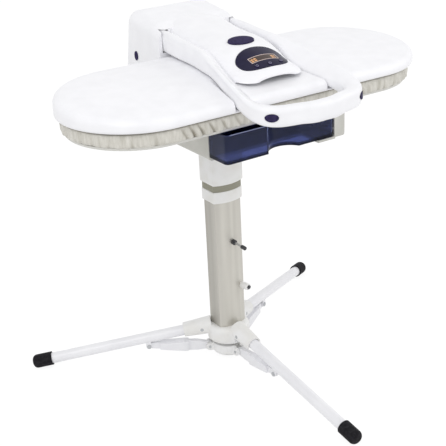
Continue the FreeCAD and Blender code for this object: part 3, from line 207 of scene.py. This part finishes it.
# The peel's ripple is about 2 mm across, and the coat is duller over patches of about 70 mm.
peel = add(tree, "ShaderNodeTexNoise", {"Vector": place, "Scale": 500, "Detail": 1.5})
patch = add(tree, "ShaderNodeTexNoise", {"Vector": place, "Scale": 14, "Detail": 2.0})
tone = add(tree, "ShaderNodeValToRGB", {"Fac": patch.outputs["Fac"]})
tone.color_ramp.elements[0].position = 0.3
tone.color_ramp.elements[0].color = linear("ECECF0")
tone.color_ramp.elements[1].position = 0.7
tone.color_ramp.elements[1].color = linear("F3F3F6")
tree.links.new(tone.outputs[0], shader.inputs["Base Color"])
gloss = add(tree, "ShaderNodeMapRange", {"Value": patch.outputs["Fac"], "To Min": 0.25, "To Max": 0.38})
tree.links.new(gloss.outputs[0], shader.inputs["Roughness"])
bump = add(tree, "ShaderNodeBump", {"Strength": 0.3, "Distance": 0.0003, "Height": peel.outputs["Fac"]})
tree.links.new(bump.outputs[0], shader.inputs["Normal"])
for way in ("front", "right", "left"):
    dress(powder, "leg_" + way, "leg_knuckle_" + way, "strut_" + way)


# Feet and cord gland: black rubber, moulded with a fine matt skin. A foot is a cap pushed over the
# end of its tube, and the gland is pushed through the back wall of the housing.
rubber, tree, shader = new_material("moulded_black_rubber", Roughness=0.72, IOR=1.5, Specular_IOR_Level=0.15)
place = add(tree, "ShaderNodeTexCoord").outputs["Object"]
# Pores of about 1 mm scatter the light, and dust greys patches of about 8 mm.
pores = add(tree, "ShaderNodeTexNoise", {"Vector": place, "Scale": 900, "Detail": 3.0})
dust = add(tree, "ShaderNodeTexNoise", {"Vector": place, "Scale": 120, "Detail": 3.0})
tone = add(tree, "ShaderNodeValToRGB", {"Fac": dust.outputs["Fac"]})
tone.color_ramp.elements[0].position = 0.4
tone.color_ramp.elements[0].color = linear("17161A")
tone.color_ramp.elements[1].position = 0.75
tone.color_ramp.elements[1].color = linear("2A292D")
tree.links.new(tone.outputs[0], shader.inputs["Base Color"])
gloss = add(tree, "ShaderNodeMapRange", {"Value": pores.outputs["Fac"], "To Min": 0.6, "To Max": 0.85})
tree.links.new(gloss.outputs[0], shader.inputs["Roughness"])
bump = add(tree, "ShaderNodeBump", {"Strength": 0.5, "Distance": 0.0004, "Height": pores.outputs["Fac"]})
tree.links.new(bump.outputs[0], shader.inputs["Normal"])
dress(rubber, "foot_front", "foot_right", "foot_left", "cord_gland")


# Mast, slider tube, pins, brackets and screws: steel, cold drawn and zinc plated, with faint
# cloudy passivation and fine draw marks.
steel, tree, shader = new_material("zinc_plated_steel", Metallic=1.0, Roughness=0.35)
place = add(tree, "ShaderNodeTexCoord").outputs["Object"]
# Clouds of about 17 mm, and marks of about 0.6 mm, which is coarser than real ones so that they show.
cloud = add(tree, "ShaderNodeTexNoise", {"Vector": place, "Scale": 60, "Detail": 3.0})
marks = add(tree, "ShaderNodeTexNoise", {"Vector": place, "Scale": 1800, "Detail": 2.0})
tone = add(tree, "ShaderNodeValToRGB", {"Fac": cloud.outputs["Fac"]})
tone.color_ramp.elements[0].color = linear("A9ACB0")
tone.color_ramp.elements[1].color = linear("C9CACB")
tree.links.new(tone.outputs[0], shader.inputs["Base Color"])
gloss = add(tree, "ShaderNodeMapRange", {"Value": marks.outputs["Fac"], "To Min": 0.25, "To Max": 0.45})
tree.links.new(gloss.outputs[0], shader.inputs["Roughness"])
bump = add(tree, "ShaderNodeBump", {"Strength": 0.15, "Distance": 0.0001, "Height": marks.outputs["Fac"]})
tree.links.new(bump.outputs[0], shader.inputs["Normal"])
dress(steel, "inner_mast", "slider_tube", "leg_pivot_pins", "lower_hub_pins", "strut_pin_front",
      "strut_pin_right", "strut_pin_left", "mount_plate", "mount_screws", "hinge_bracket", "hinge_pin",
      "arm_frame", "handle_shaft", "height_pin", "lock_plunger", "heating_element")


# Stop ring at the top of the mast: a soft grey elastomer band that the collar meets when the
# column is let down, dull and slightly streaked round.
ring, tree, shader = new_material("grey_elastomer", Roughness=0.6, IOR=1.48)
place = add(tree, "ShaderNodeTexCoord").outputs["Object"]
# Streaks about 1 mm high and 17 mm long.
streak = add(tree, "ShaderNodeMapping", {"Vector": place, "Scale": (60, 60, 900)})
rings = add(tree, "ShaderNodeTexNoise", {"Vector": streak.outputs[0], "Scale": 1.0, "Detail": 2.0})
tone = add(tree, "ShaderNodeValToRGB", {"Fac": rings.outputs["Fac"]})
tone.color_ramp.elements[0].color = linear("8A8878")
tone.color_ramp.elements[1].color = linear("9E9C8D")
tree.links.new(tone.outputs[0], shader.inputs["Base Color"])
bump = add(tree, "ShaderNodeBump", {"Strength": 0.3, "Distance": 0.0002, "Height": rings.outputs["Fac"]})
tree.links.new(bump.outputs[0], shader.inputs["Normal"])
dress(ring, "bumper_ring")


# Bush, pin tip, knob cap, tank valve and pump: black acetal, turned or moulded, with a slight
# sheen. The small ones are pressed into the piece that carries them.
acetal, tree, shader = new_material("black_acetal", Roughness=0.35, IOR=1.48)
place = add(tree, "ShaderNodeTexCoord").outputs["Object"]
# Tool marks of about 0.7 mm, coarser than real ones so that they show.
marks = add(tree, "ShaderNodeTexNoise", {"Vector": place, "Scale": 1400, "Detail": 2.0})
tone = add(tree, "ShaderNodeValToRGB", {"Fac": marks.outputs["Fac"]})
tone.color_ramp.elements[0].color = linear("2A2A2E")
tone.color_ramp.elements[1].color = linear("38383C")
tree.links.new(tone.outputs[0], shader.inputs["Base Color"])
bump = add(tree, "ShaderNodeBump", {"Strength": 0.2, "Distance": 0.0001, "Height": marks.outputs["Fac"]})
tree.links.new(bump.outputs[0], shader.inputs["Normal"])
dress(acetal, "height_pin_bush", "height_pin_tip", "lock_knob_cap", "tank_valve", "pump")


# Base housing: grey ABS, moulded in a tool with a light texture. It stands on the mount plate,
# carries the board and takes the tank at the front.
grey, tree, shader = new_material("moulded_grey_abs", Roughness=0.45, IOR=1.54)
place = add(tree, "ShaderNodeTexCoord").outputs["Object"]
# Texture cells of about 0.9 mm, and a slow change of tone over patches of 55 mm.
grain = add(tree, "ShaderNodeTexVoronoi", {"Vector": place, "Scale": 1100})
patch = add(tree, "ShaderNodeTexNoise", {"Vector": place, "Scale": 18, "Detail": 2.5})
tone = add(tree, "ShaderNodeValToRGB", {"Fac": patch.outputs["Fac"]})
tone.color_ramp.elements[0].position = 0.3
tone.color_ramp.elements[0].color = linear("C3C2BB")
tone.color_ramp.elements[1].position = 0.7
tone.color_ramp.elements[1].color = linear("D0CFC9")
tree.links.new(tone.outputs[0], shader.inputs["Base Color"])
gloss = add(tree, "ShaderNodeMapRange", {"Value": grain.outputs["Distance"], "To Min": 0.4, "To Max": 0.55})
tree.links.new(gloss.outputs[0], shader.inputs["Roughness"])
bump = add(tree, "ShaderNodeBump", {"Strength": 0.25, "Distance": 0.0002,
                                    "Height": grain.outputs["Distance"]})
tree.links.new(bump.outputs[0], shader.inputs["Normal"])
dress(grey, "base_housing")


# Rear corners of the housing: its back wall turns through 20 mm here. A curved strip of the same
# grey ABS, 2.8 mm thick, closes each corner from inside, 0.1 mm behind the moulding's face.
low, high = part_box("base_housing")
side_flange = 0.009
corner_round = 0.02
strip_thick = 0.0028
strip_tall = 0.048
strip_foot = 0.002
behind_face = 0.0001
for word, side in (("rear_corner_left", -1), ("rear_corner_right", 1)):
    wall = side * (high[0] - side_flange)
    start = (wall - side * (behind_face + strip_thick / 2), high[1] - corner_round,
             low[2] + strip_foot + strip_tall / 2)
    turn_point = (wall - side * corner_round, high[1] - corner_round, 0)
    bpy.ops.object.select_all(action="DESELECT")
    bpy.ops.mesh.primitive_plane_add(size=1, location=start, rotation=(math.pi / 2, 0, 0))
    strip = bpy.context.object
    strip.name = word
    strip.scale = (strip_thick, strip_tall, 1)
    bpy.ops.object.transform_apply(location=True, rotation=True, scale=True)
    bpy.ops.object.mode_set(mode="EDIT")
    bpy.ops.mesh.select_all(action="SELECT")
    # With no window, spin turns the other way round, so the quarter turn's sign is swapped.
    bpy.ops.mesh.spin(steps=16, angle=-side * math.pi / 2, center=turn_point, axis=(0, 0, 1))
    bpy.ops.mesh.select_all(action="SELECT")
    bpy.ops.mesh.remove_doubles(threshold=0.00001)
    bpy.ops.mesh.normals_make_consistent(inside=False)
    bpy.ops.object.mode_set(mode="OBJECT")
    bpy.ops.object.shade_smooth_by_angle(angle=0.6)
    strip.data.materials.append(grey)
    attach(strip, "mast")


# Water tank: smoky blue polycarbonate, moulded thin enough to see through, with a polished skin.
# It slides into the front of the housing like a drawer.
smoke, tree, shader = new_material("smoky_blue_polycarbonate", Roughness=0.08, IOR=1.2,
                                   Transmission_Weight=0.93, Specular_IOR_Level=0.06)
where = add(tree, "ShaderNodeTexCoord")
place = where.outputs["Object"]
# Flow marks over patches of about 33 mm.
flow = add(tree, "ShaderNodeTexNoise", {"Vector": place, "Scale": 30, "Detail": 2.0})
tone = add(tree, "ShaderNodeValToRGB", {"Fac": flow.outputs["Fac"]})
tone.color_ramp.elements[0].position = 0.3
tone.color_ramp.elements[0].color = linear("7F89B6")
tone.color_ramp.elements[1].position = 0.7
tone.color_ramp.elements[1].color = linear("8C95C2")
# The walls thicken into the floor, so their lowest 7 mm look darker. The floor itself stays clear.
low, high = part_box("water_tank")
foot_top = low[2] + 0.007
foot_blend = 0.001
spot = add(tree, "ShaderNodeSeparateXYZ", {"Vector": place})
clear_wall = add(tree, "ShaderNodeMapRange", {"Value": spot.outputs["Z"], "From Min": foot_top - foot_blend,
                                              "From Max": foot_top + foot_blend})
facing = add(tree, "ShaderNodeSeparateXYZ", {"Vector": where.outputs["Normal"]})
level = add(tree, "ShaderNodeMath", {0: facing.outputs["Z"]}, operation="ABSOLUTE")
clear = add(tree, "ShaderNodeMath", {0: clear_wall.outputs[0], 1: level.outputs[0]}, operation="MAXIMUM")
dark_foot = add(tree, "ShaderNodeMapRange", {"Value": clear.outputs[0], "To Min": 0.3, "To Max": 1.0})
tint = add(tree, "ShaderNodeMix", {0: 1.0, 6: tone.outputs[0], 7: dark_foot.outputs[0]}, data_type="RGBA",
           blend_type="MULTIPLY")
tree.links.new(tint.outputs[2], shader.inputs["Base Color"])
gloss = add(tree, "ShaderNodeMapRange", {"Value": flow.outputs["Fac"], "To Min": 0.05, "To Max": 0.14})
tree.links.new(gloss.outputs[0], shader.inputs["Roughness"])
dress(smoke, "water_tank")


# Rim of the tank: a rounded bead, 2.2 mm wide, on the front wall's top edge at each side of the
# finger recess. It is coloured pale as a painted highlight along that edge.
highlight_look, tree, shader = new_material("painted_highlight_polycarbonate", Roughness=0.25, IOR=1.58)
place = add(tree, "ShaderNodeTexCoord").outputs["Object"]
# The painted highlight runs in paler and darker stretches of about 17 mm.
flow = add(tree, "ShaderNodeTexNoise", {"Vector": place, "Scale": 60, "Detail": 2.0})
tone = add(tree, "ShaderNodeValToRGB", {"Fac": flow.outputs["Fac"]})
tone.color_ramp.elements[0].color = linear("6E769C")
tone.color_ramp.elements[1].color = linear("A3AAC8")
tree.links.new(tone.outputs[0], shader.inputs["Base Color"])
low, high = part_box("water_tank")
bead_wide = 0.0022
bead_tall = 0.0016
bead_round = 0.0007
bead_in = 0.0012
corner_round = 0.009
recess_middle = -0.013
recess_half = 0.0385
stretches = (("tank_rim_highlight_left", low[0] + corner_round, recess_middle - recess_half),
             ("tank_rim_highlight_right", recess_middle + recess_half, high[0] - corner_round))
for word, start, end in stretches:
    bpy.ops.object.select_all(action="DESELECT")
    bpy.ops.mesh.primitive_cube_add(size=1, location=((start + end) / 2, low[1] + bead_in, high[2]),
                                    scale=(end - start, bead_wide, bead_tall))
    bead = bpy.context.object
    bead.name = word
    bpy.ops.object.transform_apply(location=True, rotation=True, scale=True)
    soft_edge = bead.modifiers.new("soft_edge", "BEVEL")
    soft_edge.width = bead_round
    soft_edge.segments = 3
    bpy.ops.object.modifier_apply(modifier="soft_edge")
    bpy.ops.object.shade_smooth_by_angle(angle=0.6)
    bead.data.materials.append(highlight_look)
    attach(bead, "tank")


# Board pan: a tray of pressed steel, fixed on the housing under the pad. Its warm off-white paint
# is stoved, and levels into a fine peel.
pan_paint, tree, shader = new_material("stoved_pan_enamel", Roughness=0.4, IOR=1.5)
place = add(tree, "ShaderNodeTexCoord").outputs["Object"]
# The peel's ripple is about 1.7 mm across.
peel = add(tree, "ShaderNodeTexNoise", {"Vector": place, "Scale": 600, "Detail": 1.5})
tone = add(tree, "ShaderNodeValToRGB", {"Fac": peel.outputs["Fac"]})
tone.color_ramp.elements[0].color = linear("D2D1CB")
tone.color_ramp.elements[1].color = linear("DCDBD6")
tree.links.new(tone.outputs[0], shader.inputs["Base Color"])
bump = add(tree, "ShaderNodeBump", {"Strength": 0.3, "Distance": 0.0003, "Height": peel.outputs["Fac"]})
tree.links.new(bump.outputs[0], shader.inputs["Normal"])
dress(pan_paint, "board_pan")


# Board cover: cotton drawn over foam and gathered under the rim by an elastic. It is pressed flat
# by the platen, swells at the rim, and puckers towards the elastic.
pad_copy = nodes["board_pad"].copy()
pad_copy.data = nodes["board_pad"].data.copy()
pad_copy.name = "board_cover"
pad_copy.parent = None
pad_copy.matrix_world = Matrix.Identity(4)
scene.collection.objects.link(pad_copy)
low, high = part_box("board_pad")
middle = (Vector(low) + Vector(high)) / 2
half_long = (high[0] - low[0]) / 2
half_deep = (high[1] - low[1]) / 2
straight = half_long - half_deep

# The hem with its elastic: a ring that is drawn out along the board, under the rim of the pad.
hem_radius = 0.0042
hem_in = 0.0045
hem_height = 0.0038
at_middle = 0.000001
bpy.ops.object.select_all(action="DESELECT")
bpy.ops.mesh.primitive_torus_add(location=(middle.x, middle.y, low[2] + hem_height),
                                 major_radius=half_deep - hem_in, minor_radius=hem_radius,
                                 major_segments=160, minor_segments=12)
hem = bpy.context.object
for corner in hem.data.vertices:
    if abs(corner.co.x) > at_middle:
        corner.co.x += math.copysign(straight, corner.co.x)
bpy.ops.object.transform_apply(location=True, rotation=True, scale=True)
pad_copy.select_set(True)
bpy.context.view_layer.objects.active = pad_copy
bpy.ops.object.mode_set(mode="OBJECT")
bpy.ops.object.join()
cover = bpy.context.object

bpy.ops.object.mode_set(mode="EDIT")
bpy.ops.mesh.select_all(action="SELECT")
bpy.ops.mesh.remove_doubles(threshold=0.0001)
bpy.ops.mesh.normals_make_consistent(inside=False)
bpy.ops.object.mode_set(mode="OBJECT")
remesh = cover.modifiers.new("remesh", "REMESH")
remesh.mode = "VOXEL"
remesh.voxel_size = 0.0048
bpy.ops.object.modifier_apply(modifier="remesh")

# Pressure swells the cloth between the platen and the elastic, by 3 mm at most.
swell_limit = 0.003
last_step = 15
before = [corner.co.copy() for corner in cover.data.vertices]
cloth = cover.modifiers.new("cloth", "CLOTH")
cloth.settings.use_pressure = True
cloth.settings.uniform_pressure_force = 4
cloth.settings.effector_weights.gravity = 0
for step in range(1, last_step + 1):
    scene.frame_set(step)
bpy.ops.object.modifier_apply(modifier="cloth")
scene.frame_set(1)
for corner, start in zip(cover.data.vertices, before):
    swell = corner.co - start
    if swell.length > swell_limit:
        corner.co = start + swell * (swell_limit / swell.length)
smooth = cover.modifiers.new("smooth", "SUBSURF")
smooth.levels = 1
smooth.render_levels = 1
bpy.ops.object.modifier_apply(modifier="smooth")


def rim_place(point):
    """How far along the rim a point is, in metres, and the way out from the board there."""
    x, y = point.x - middle.x, point.y - middle.y
    reach = max(-straight, min(straight, x))
    out = Vector((x - reach, y, 0))
    angle = math.atan2(out.y, out.x)
    if x >= straight:
        run = angle * half_deep
    elif x <= -straight:
        turned = angle if angle > 0 else angle + 2 * math.pi
        run = 2 * straight + turned * half_deep
    elif y > 0:
        run = math.pi / 2 * half_deep + straight - x
    else:
        run = -math.pi / 2 * half_deep - (straight - x)
    return run, out


def pucker(run):
    """Uneven gathers: three wave lengths of 15, 22 and 41 mm that fall in and out of step."""
    short = math.sin(run * 2 * math.pi / 0.0153)
    medium = math.sin(run * 2 * math.pi / 0.0221 + 1.3)
    long = math.sin(run * 2 * math.pi / 0.0413 + 4.0)
    return 0.45 * short + 0.4 * medium + 0.4 * long


def drawn_fold(point):
    """Slanting folds where the elastic is drawn past the housing: 6 mm grooves, each beside a soft ridge."""
    slant = 0.6
    groove_half = 0.003
    ridge_half = 0.006
    ridge_off = 0.008
    folds = ((-0.242, 0.7), (-0.224, 1.0), (-0.206, 1.0), (-0.182, 0.8), (-0.155, 0.7), (-0.124, 0.6),
             (0.150, 0.7), (0.178, 0.8))
    across = point.x - middle.x - slant * (high[2] - point.z)
    total = 0
    for fold_place, share in folds:
        groove = math.exp(-((across - fold_place) / groove_half) ** 2)
        ridge = math.exp(-((across - fold_place - ridge_off) / ridge_half) ** 2)
        total += share * (0.4 * ridge - groove)
    return total


def limited(value):
    """The value, held between 0 and 1."""
    return min(1.0, max(0.0, value))


# Gathers and folds grow over the outer 30 mm of the board and towards the hem. The attribute keeps painted
# shade: more the deeper in a groove a point is, and a painted shadow line where the platen's edge presses.
# A share is of the pad's height, from the top.
rim_band = 0.03
rim_blend = 0.02
least_gather = 0.0004
more_gather = 0.0022
fold_depth = 0.0042
ungathered_share = 0.15
groove_shade = 0.35
press_shadow = 0.75
press_share = 0.05
press_spread = 0.09
roof = high[2] - 0.0003
painted_crease_shade = cover.data.attributes.new("painted_crease_shade", "FLOAT", "POINT")
for corner in cover.data.vertices:
    run, out = rim_place(corner.co)
    reach = out.length
    if reach > half_deep - rim_band:
        depth = (high[2] - corner.co.z) / (high[2] - low[2])
        edge = limited((reach - half_deep + rim_band) / rim_blend)
        gather = least_gather + more_gather * limited(depth - ungathered_share) ** 1.5
        # Painted shade, deeper in the gathers' grooves.
        groove = max(0.0, -pucker(run)) * groove_shade * limited(depth)
        corner.co += out.normalized() * (pucker(run) * gather * edge)
        at_front = out.y < 0 and abs(corner.co.x - middle.x) < straight
        if at_front:
            fold = drawn_fold(corner.co) * min(1.0, 0.3 + 1.2 * max(0.0, depth))
            corner.co += out.normalized() * (fold_depth * fold * edge)
            groove += max(0.0, -fold)
        # Painted shadow: a dark line where the platen's edge presses into the cloth.
        pressed_shadow = press_shadow * max(0.0, 1 - abs(depth - press_share) / press_spread)
        painted_crease_shade.data[corner.index].value = min(1.0, groove * edge + pressed_shadow)
    corner.co.z = min(corner.co.z, roof)
bpy.ops.object.shade_smooth()

cotton, tree, shader = new_material("woven_cotton", Roughness=0.85, IOR=1.45, Sheen_Weight=0.3,
                                    Sheen_Roughness=0.5)
place = add(tree, "ShaderNodeTexCoord").outputs["Object"]
# Threads are really 0.4 mm apart; they are drawn 1.6 mm apart so that the weave shows.
warp = add(tree, "ShaderNodeTexWave", {"Vector": place, "Scale": 200, "Distortion": 1.2, "Detail": 2.0},
           wave_type="BANDS", bands_direction="X")
weft = add(tree, "ShaderNodeTexWave", {"Vector": place, "Scale": 200, "Distortion": 1.2, "Detail": 2.0},
           wave_type="BANDS", bands_direction="Z")
weave = add(tree, "ShaderNodeMath", {0: warp.outputs["Fac"], 1: weft.outputs["Fac"]}, operation="MULTIPLY")
# The tone varies in streaks about 8 mm apart that run down the rim.
streak_place = add(tree, "ShaderNodeMapping", {"Vector": place, "Scale": (130, 130, 35)})
streak_noise = add(tree, "ShaderNodeTexNoise", {"Vector": streak_place.outputs[0], "Scale": 1.0, "Detail": 5.0,
                                        "Roughness": 0.65})
tone = add(tree, "ShaderNodeValToRGB", {"Fac": streak_noise.outputs["Fac"]})
tone.color_ramp.elements[0].position = 0.3
tone.color_ramp.elements[0].color = linear("CFCCC1")
tone.color_ramp.elements[1].position = 0.7
tone.color_ramp.elements[1].color = linear("EDEAE2")
shade = add(tree, "ShaderNodeMapRange", {"Value": weave.outputs[0], "To Min": 0.86, "To Max": 1.04})
thread = add(tree, "ShaderNodeMix", {0: 1.0, 6: tone.outputs[0], 7: shade.outputs[0]}, data_type="RGBA",
             blend_type="MULTIPLY")
# Painted shade in the creases, and a painted shadow line where the platen's edge presses, mix in brown.
crease_shade = add(tree, "ShaderNodeAttribute", attribute_name="painted_crease_shade")
shaded_cloth = add(tree, "ShaderNodeMix", {0: crease_shade.outputs["Fac"], 6: thread.outputs[2], 7: linear("8E8776")},
             data_type="RGBA")
tree.links.new(shaded_cloth.outputs[2], shader.inputs["Base Color"])
bump = add(tree, "ShaderNodeBump", {"Strength": 0.5, "Distance": 0.0005, "Height": weave.outputs[0]})
tree.links.new(bump.outputs[0], shader.inputs["Normal"])
cover.data.materials.clear()
cover.data.materials.append(cotton)
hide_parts("board_pad")
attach(cover, "mast")


# Sole plate: cast aluminium, fixed under the platen cover, with rows of steam holes. Its face is
# ground along the board and hard coated.
sole, tree, shader = new_material("hard_coated_aluminium", Metallic=0.9, Roughness=0.35)
place = add(tree, "ShaderNodeTexCoord").outputs["Object"]
# Grinding lines about 0.8 mm apart and 50 mm long.
ground = add(tree, "ShaderNodeMapping", {"Vector": place, "Scale": (20, 1200, 1200)})
lines = add(tree, "ShaderNodeTexNoise", {"Vector": ground.outputs[0], "Scale": 1.0, "Detail": 2.0})
tone = add(tree, "ShaderNodeValToRGB", {"Fac": lines.outputs["Fac"]})
tone.color_ramp.elements[0].color = linear("A3A4A4")
tone.color_ramp.elements[1].color = linear("BFC0C0")
tree.links.new(tone.outputs[0], shader.inputs["Base Color"])
bump = add(tree, "ShaderNodeBump", {"Strength": 0.2, "Distance": 0.0001, "Height": lines.outputs["Fac"]})
tree.links.new(bump.outputs[0], shader.inputs["Normal"])
dress(sole, "heating_plate")


# Platen cover, arm cover and handle: white ABS from a polished tool. Thick walls sink a little as
# they cool, which shades the white, and hands leave a haze on the gloss.
abs_white, tree, shader = new_material("glossy_white_abs", Roughness=0.35, IOR=1.54, Specular_IOR_Level=0.3)
place = add(tree, "ShaderNodeTexCoord").outputs["Object"]
# Sink marks about 30 mm long, and haze over patches of 8 mm.
sink = add(tree, "ShaderNodeTexNoise", {"Vector": place, "Scale": 33, "Detail": 1.0})
haze = add(tree, "ShaderNodeTexNoise", {"Vector": place, "Scale": 125, "Detail": 3.0})
tone = add(tree, "ShaderNodeValToRGB", {"Fac": sink.outputs["Fac"]})
tone.color_ramp.elements[0].position = 0.3
tone.color_ramp.elements[0].color = linear("F5F5F8")
tone.color_ramp.elements[1].position = 0.7
tone.color_ramp.elements[1].color = linear("F9F9FC")
tree.links.new(tone.outputs[0], shader.inputs["Base Color"])
gloss = add(tree, "ShaderNodeMapRange", {"Value": haze.outputs["Fac"], "To Min": 0.32, "To Max": 0.42})
tree.links.new(gloss.outputs[0], shader.inputs["Roughness"])
dress(abs_white, "platen_cover", "arm_cover", "handle")


# Buttons, keys and hinge caps: navy ABS, moulded with a fine satin that picks up finger marks. The
# buttons and keys slide in their openings, and the caps are fixed over the ends of the hinge.
navy, tree, shader = new_material("moulded_navy_abs", Roughness=0.45, IOR=1.54, Specular_IOR_Level=0.012)
place = add(tree, "ShaderNodeTexCoord").outputs["Object"]
# Satin grains of about 0.7 mm, and finger marks of about 6 mm.
satin = add(tree, "ShaderNodeTexNoise", {"Vector": place, "Scale": 1500, "Detail": 2.0})
marks = add(tree, "ShaderNodeTexNoise", {"Vector": place, "Scale": 160, "Detail": 3.0})
tone = add(tree, "ShaderNodeValToRGB", {"Fac": marks.outputs["Fac"]})
tone.color_ramp.elements[0].position = 0.35
tone.color_ramp.elements[0].color = linear("302B47")
tone.color_ramp.elements[1].position = 0.65
tone.color_ramp.elements[1].color = linear("3C3658")
tree.links.new(tone.outputs[0], shader.inputs["Base Color"])
gloss = add(tree, "ShaderNodeMapRange", {"Value": marks.outputs["Fac"], "To Min": 0.28, "To Max": 0.45})
tree.links.new(gloss.outputs[0], shader.inputs["Roughness"])
bump = add(tree, "ShaderNodeBump", {"Strength": 0.2, "Distance": 0.0001, "Height": satin.outputs["Fac"]})
tree.links.new(bump.outputs[0], shader.inputs["Normal"])
dress(navy, "handle_button_left", "handle_button_right", "steam_button", "hinge_caps", "panel_key_1",
      "panel_key_2", "panel_key_3")


# Panel window and display module: smoked acrylic, polished. The window is bedded in the crowned
# panel of the arm cover, and the module is fixed behind it.
acrylic, tree, shader = new_material("smoked_acrylic", Roughness=0.06, IOR=1.49, Specular_IOR_Level=0.12)
place = add(tree, "ShaderNodeTexCoord").outputs["Object"]
# A film of handling grease over patches of about 11 mm.
film = add(tree, "ShaderNodeTexNoise", {"Vector": place, "Scale": 90, "Detail": 3.0})
tone = add(tree, "ShaderNodeValToRGB", {"Fac": film.outputs["Fac"]})
tone.color_ramp.elements[0].color = linear("1C1A30")
tone.color_ramp.elements[1].color = linear("2A2744")
tree.links.new(tone.outputs[0], shader.inputs["Base Color"])
gloss = add(tree, "ShaderNodeMapRange", {"Value": film.outputs["Fac"], "To Min": 0.04, "To Max": 0.12})
tree.links.new(gloss.outputs[0], shader.inputs["Roughness"])
dress(acrylic, "panel_lens", "lcd_module")


# Display: the lit field behind the window, with a pale printed frame. It is drawn as a film laid
# on the window, in cells of about 1.35 mm: the frame at its edge, figures as plain amber bars, and
# dark glass between.
cells_long = 48
cells_deep = 13
film_size = (0.0648, 0.0176, 1, 1)
film_shift = (0.0015, -0.005, 0)
panel_slope = math.radians(22)
over_window = (0, -0.0524, 0.7572)
figure_columns = (*range(2, 12), *range(36, 44))
figure_rows = (2, 3, 4, 6, 7, 8)
bpy.ops.object.select_all(action="DESELECT")
bpy.ops.mesh.primitive_grid_add(x_subdivisions=cells_long, y_subdivisions=cells_deep, size=1)
display = bpy.context.object
display.name = "display_film"
display.data.transform(Matrix.Diagonal(film_size))
display.data.transform(Matrix.Translation(film_shift))
display.data.transform(Matrix.Rotation(panel_slope, 4, "X"))
display.data.transform(Matrix.Translation(over_window))
# From its place above the window, the film is laid straight down on it.
laid = display.modifiers.new("laid", "SHRINKWRAP")
laid.target = nodes["panel_lens"]
laid.wrap_method = "PROJECT"
laid.use_project_z = True
laid.use_positive_direction = False
laid.use_negative_direction = True
laid.offset = 0.0002
bpy.ops.object.modifier_apply(modifier="laid")
bpy.ops.object.shade_smooth()

# A print has a grain of about 2.5 mm, from a dimmer to a brighter tone. Frame and figures glow a little.
prints = (("dark_display_glass", "2A1812", "3C2216", 0.0), ("printed_frame", "C9B4AE", "DCCAC2", 0.1),
          ("amber_figures", "B07848", "E0B080", 0.25))
for word, dim, bright, glow in prints:
    look, tree, shader = new_material(word, Roughness=0.15, IOR=1.49, Emission_Strength=glow)
    place = add(tree, "ShaderNodeTexCoord").outputs["Object"]
    print_grain = add(tree, "ShaderNodeTexNoise", {"Vector": place, "Scale": 400, "Detail": 2.0})
    tone = add(tree, "ShaderNodeValToRGB", {"Fac": print_grain.outputs["Fac"]})
    tone.color_ramp.elements[0].color = linear(dim)
    tone.color_ramp.elements[1].color = linear(bright)
    tree.links.new(tone.outputs[0], shader.inputs["Base Color"])
    tree.links.new(tone.outputs[0], shader.inputs["Emission Color"])
    display.data.materials.append(look)
for cell in display.data.polygons:
    column, row = cell.index % cells_long, cell.index // cells_long
    if column in (0, cells_long - 1) or row in (0, cells_deep - 1):
        cell.material_index = 1
    elif row in figure_rows and column in figure_columns and column % 5 != 1:
        cell.material_index = 2
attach(display, "press")


# Key marks: a pale ring printed on each key, so that it is found on the dark window. The ink
# stands a little proud of the navy.
mark_ink, tree, shader = new_material("pale_key_ink", Roughness=0.5, IOR=1.5)
place = add(tree, "ShaderNodeTexCoord").outputs["Object"]
# Ink grain of about 1.4 mm, coarser than real ink so that it shows.
print_grain = add(tree, "ShaderNodeTexNoise", {"Vector": place, "Scale": 700, "Detail": 2.0})
tone = add(tree, "ShaderNodeValToRGB", {"Fac": print_grain.outputs["Fac"]})
tone.color_ramp.elements[0].color = linear("8E8CA0")
tone.color_ramp.elements[1].color = linear("A9A7B8")
tree.links.new(tone.outputs[0], shader.inputs["Base Color"])
mark_reach = 0.0026
line_radius = 0.0004
mark_lift = 0.0002
face_out = Vector((0, -math.sin(panel_slope), math.cos(panel_slope)))
for word in ("panel_key_1", "panel_key_2", "panel_key_3"):
    key_low, key_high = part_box(word)
    centre = (Vector(key_low) + Vector(key_high)) / 2
    key = nodes[word]
    rise = max((key.matrix_world @ corner.co - centre).dot(face_out) for corner in key.data.vertices)
    bpy.ops.object.select_all(action="DESELECT")
    bpy.ops.mesh.primitive_torus_add(major_radius=mark_reach, minor_radius=line_radius, major_segments=32,
                                     minor_segments=8)
    ring_mark = bpy.context.object
    ring_mark.name = word + "_mark"
    ring_mark.data.transform(Matrix.Rotation(panel_slope, 4, "X"))
    ring_mark.data.transform(Matrix.Translation(centre + face_out * (rise + mark_lift)))
    bpy.ops.object.shade_smooth()
    ring_mark.data.materials.append(mark_ink)
    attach(ring_mark, word)


# Circuit board: glass epoxy under green resist, with copper tracks. It is fixed behind the display
# module, inside the arm cover.
board_green, tree, shader = new_material("glass_epoxy_board", Roughness=0.5, IOR=1.5)
place = add(tree, "ShaderNodeTexCoord").outputs["Object"]
# Tracks about 3 mm apart.
tracks = add(tree, "ShaderNodeTexVoronoi", {"Vector": place, "Scale": 300}, feature="DISTANCE_TO_EDGE")
tone = add(tree, "ShaderNodeValToRGB", {"Fac": tracks.outputs["Distance"]})
tone.color_ramp.elements[0].color = linear("2F6B45")
tone.color_ramp.elements[1].position = 0.1
tone.color_ramp.elements[1].color = linear("1F5536")
tree.links.new(tone.outputs[0], shader.inputs["Base Color"])
bump = add(tree, "ShaderNodeBump", {"Strength": 0.2, "Distance": 0.0001,
                                    "Height": tracks.outputs["Distance"]})
tree.links.new(bump.outputs[0], shader.inputs["Normal"])
dress(board_green, "control_board")
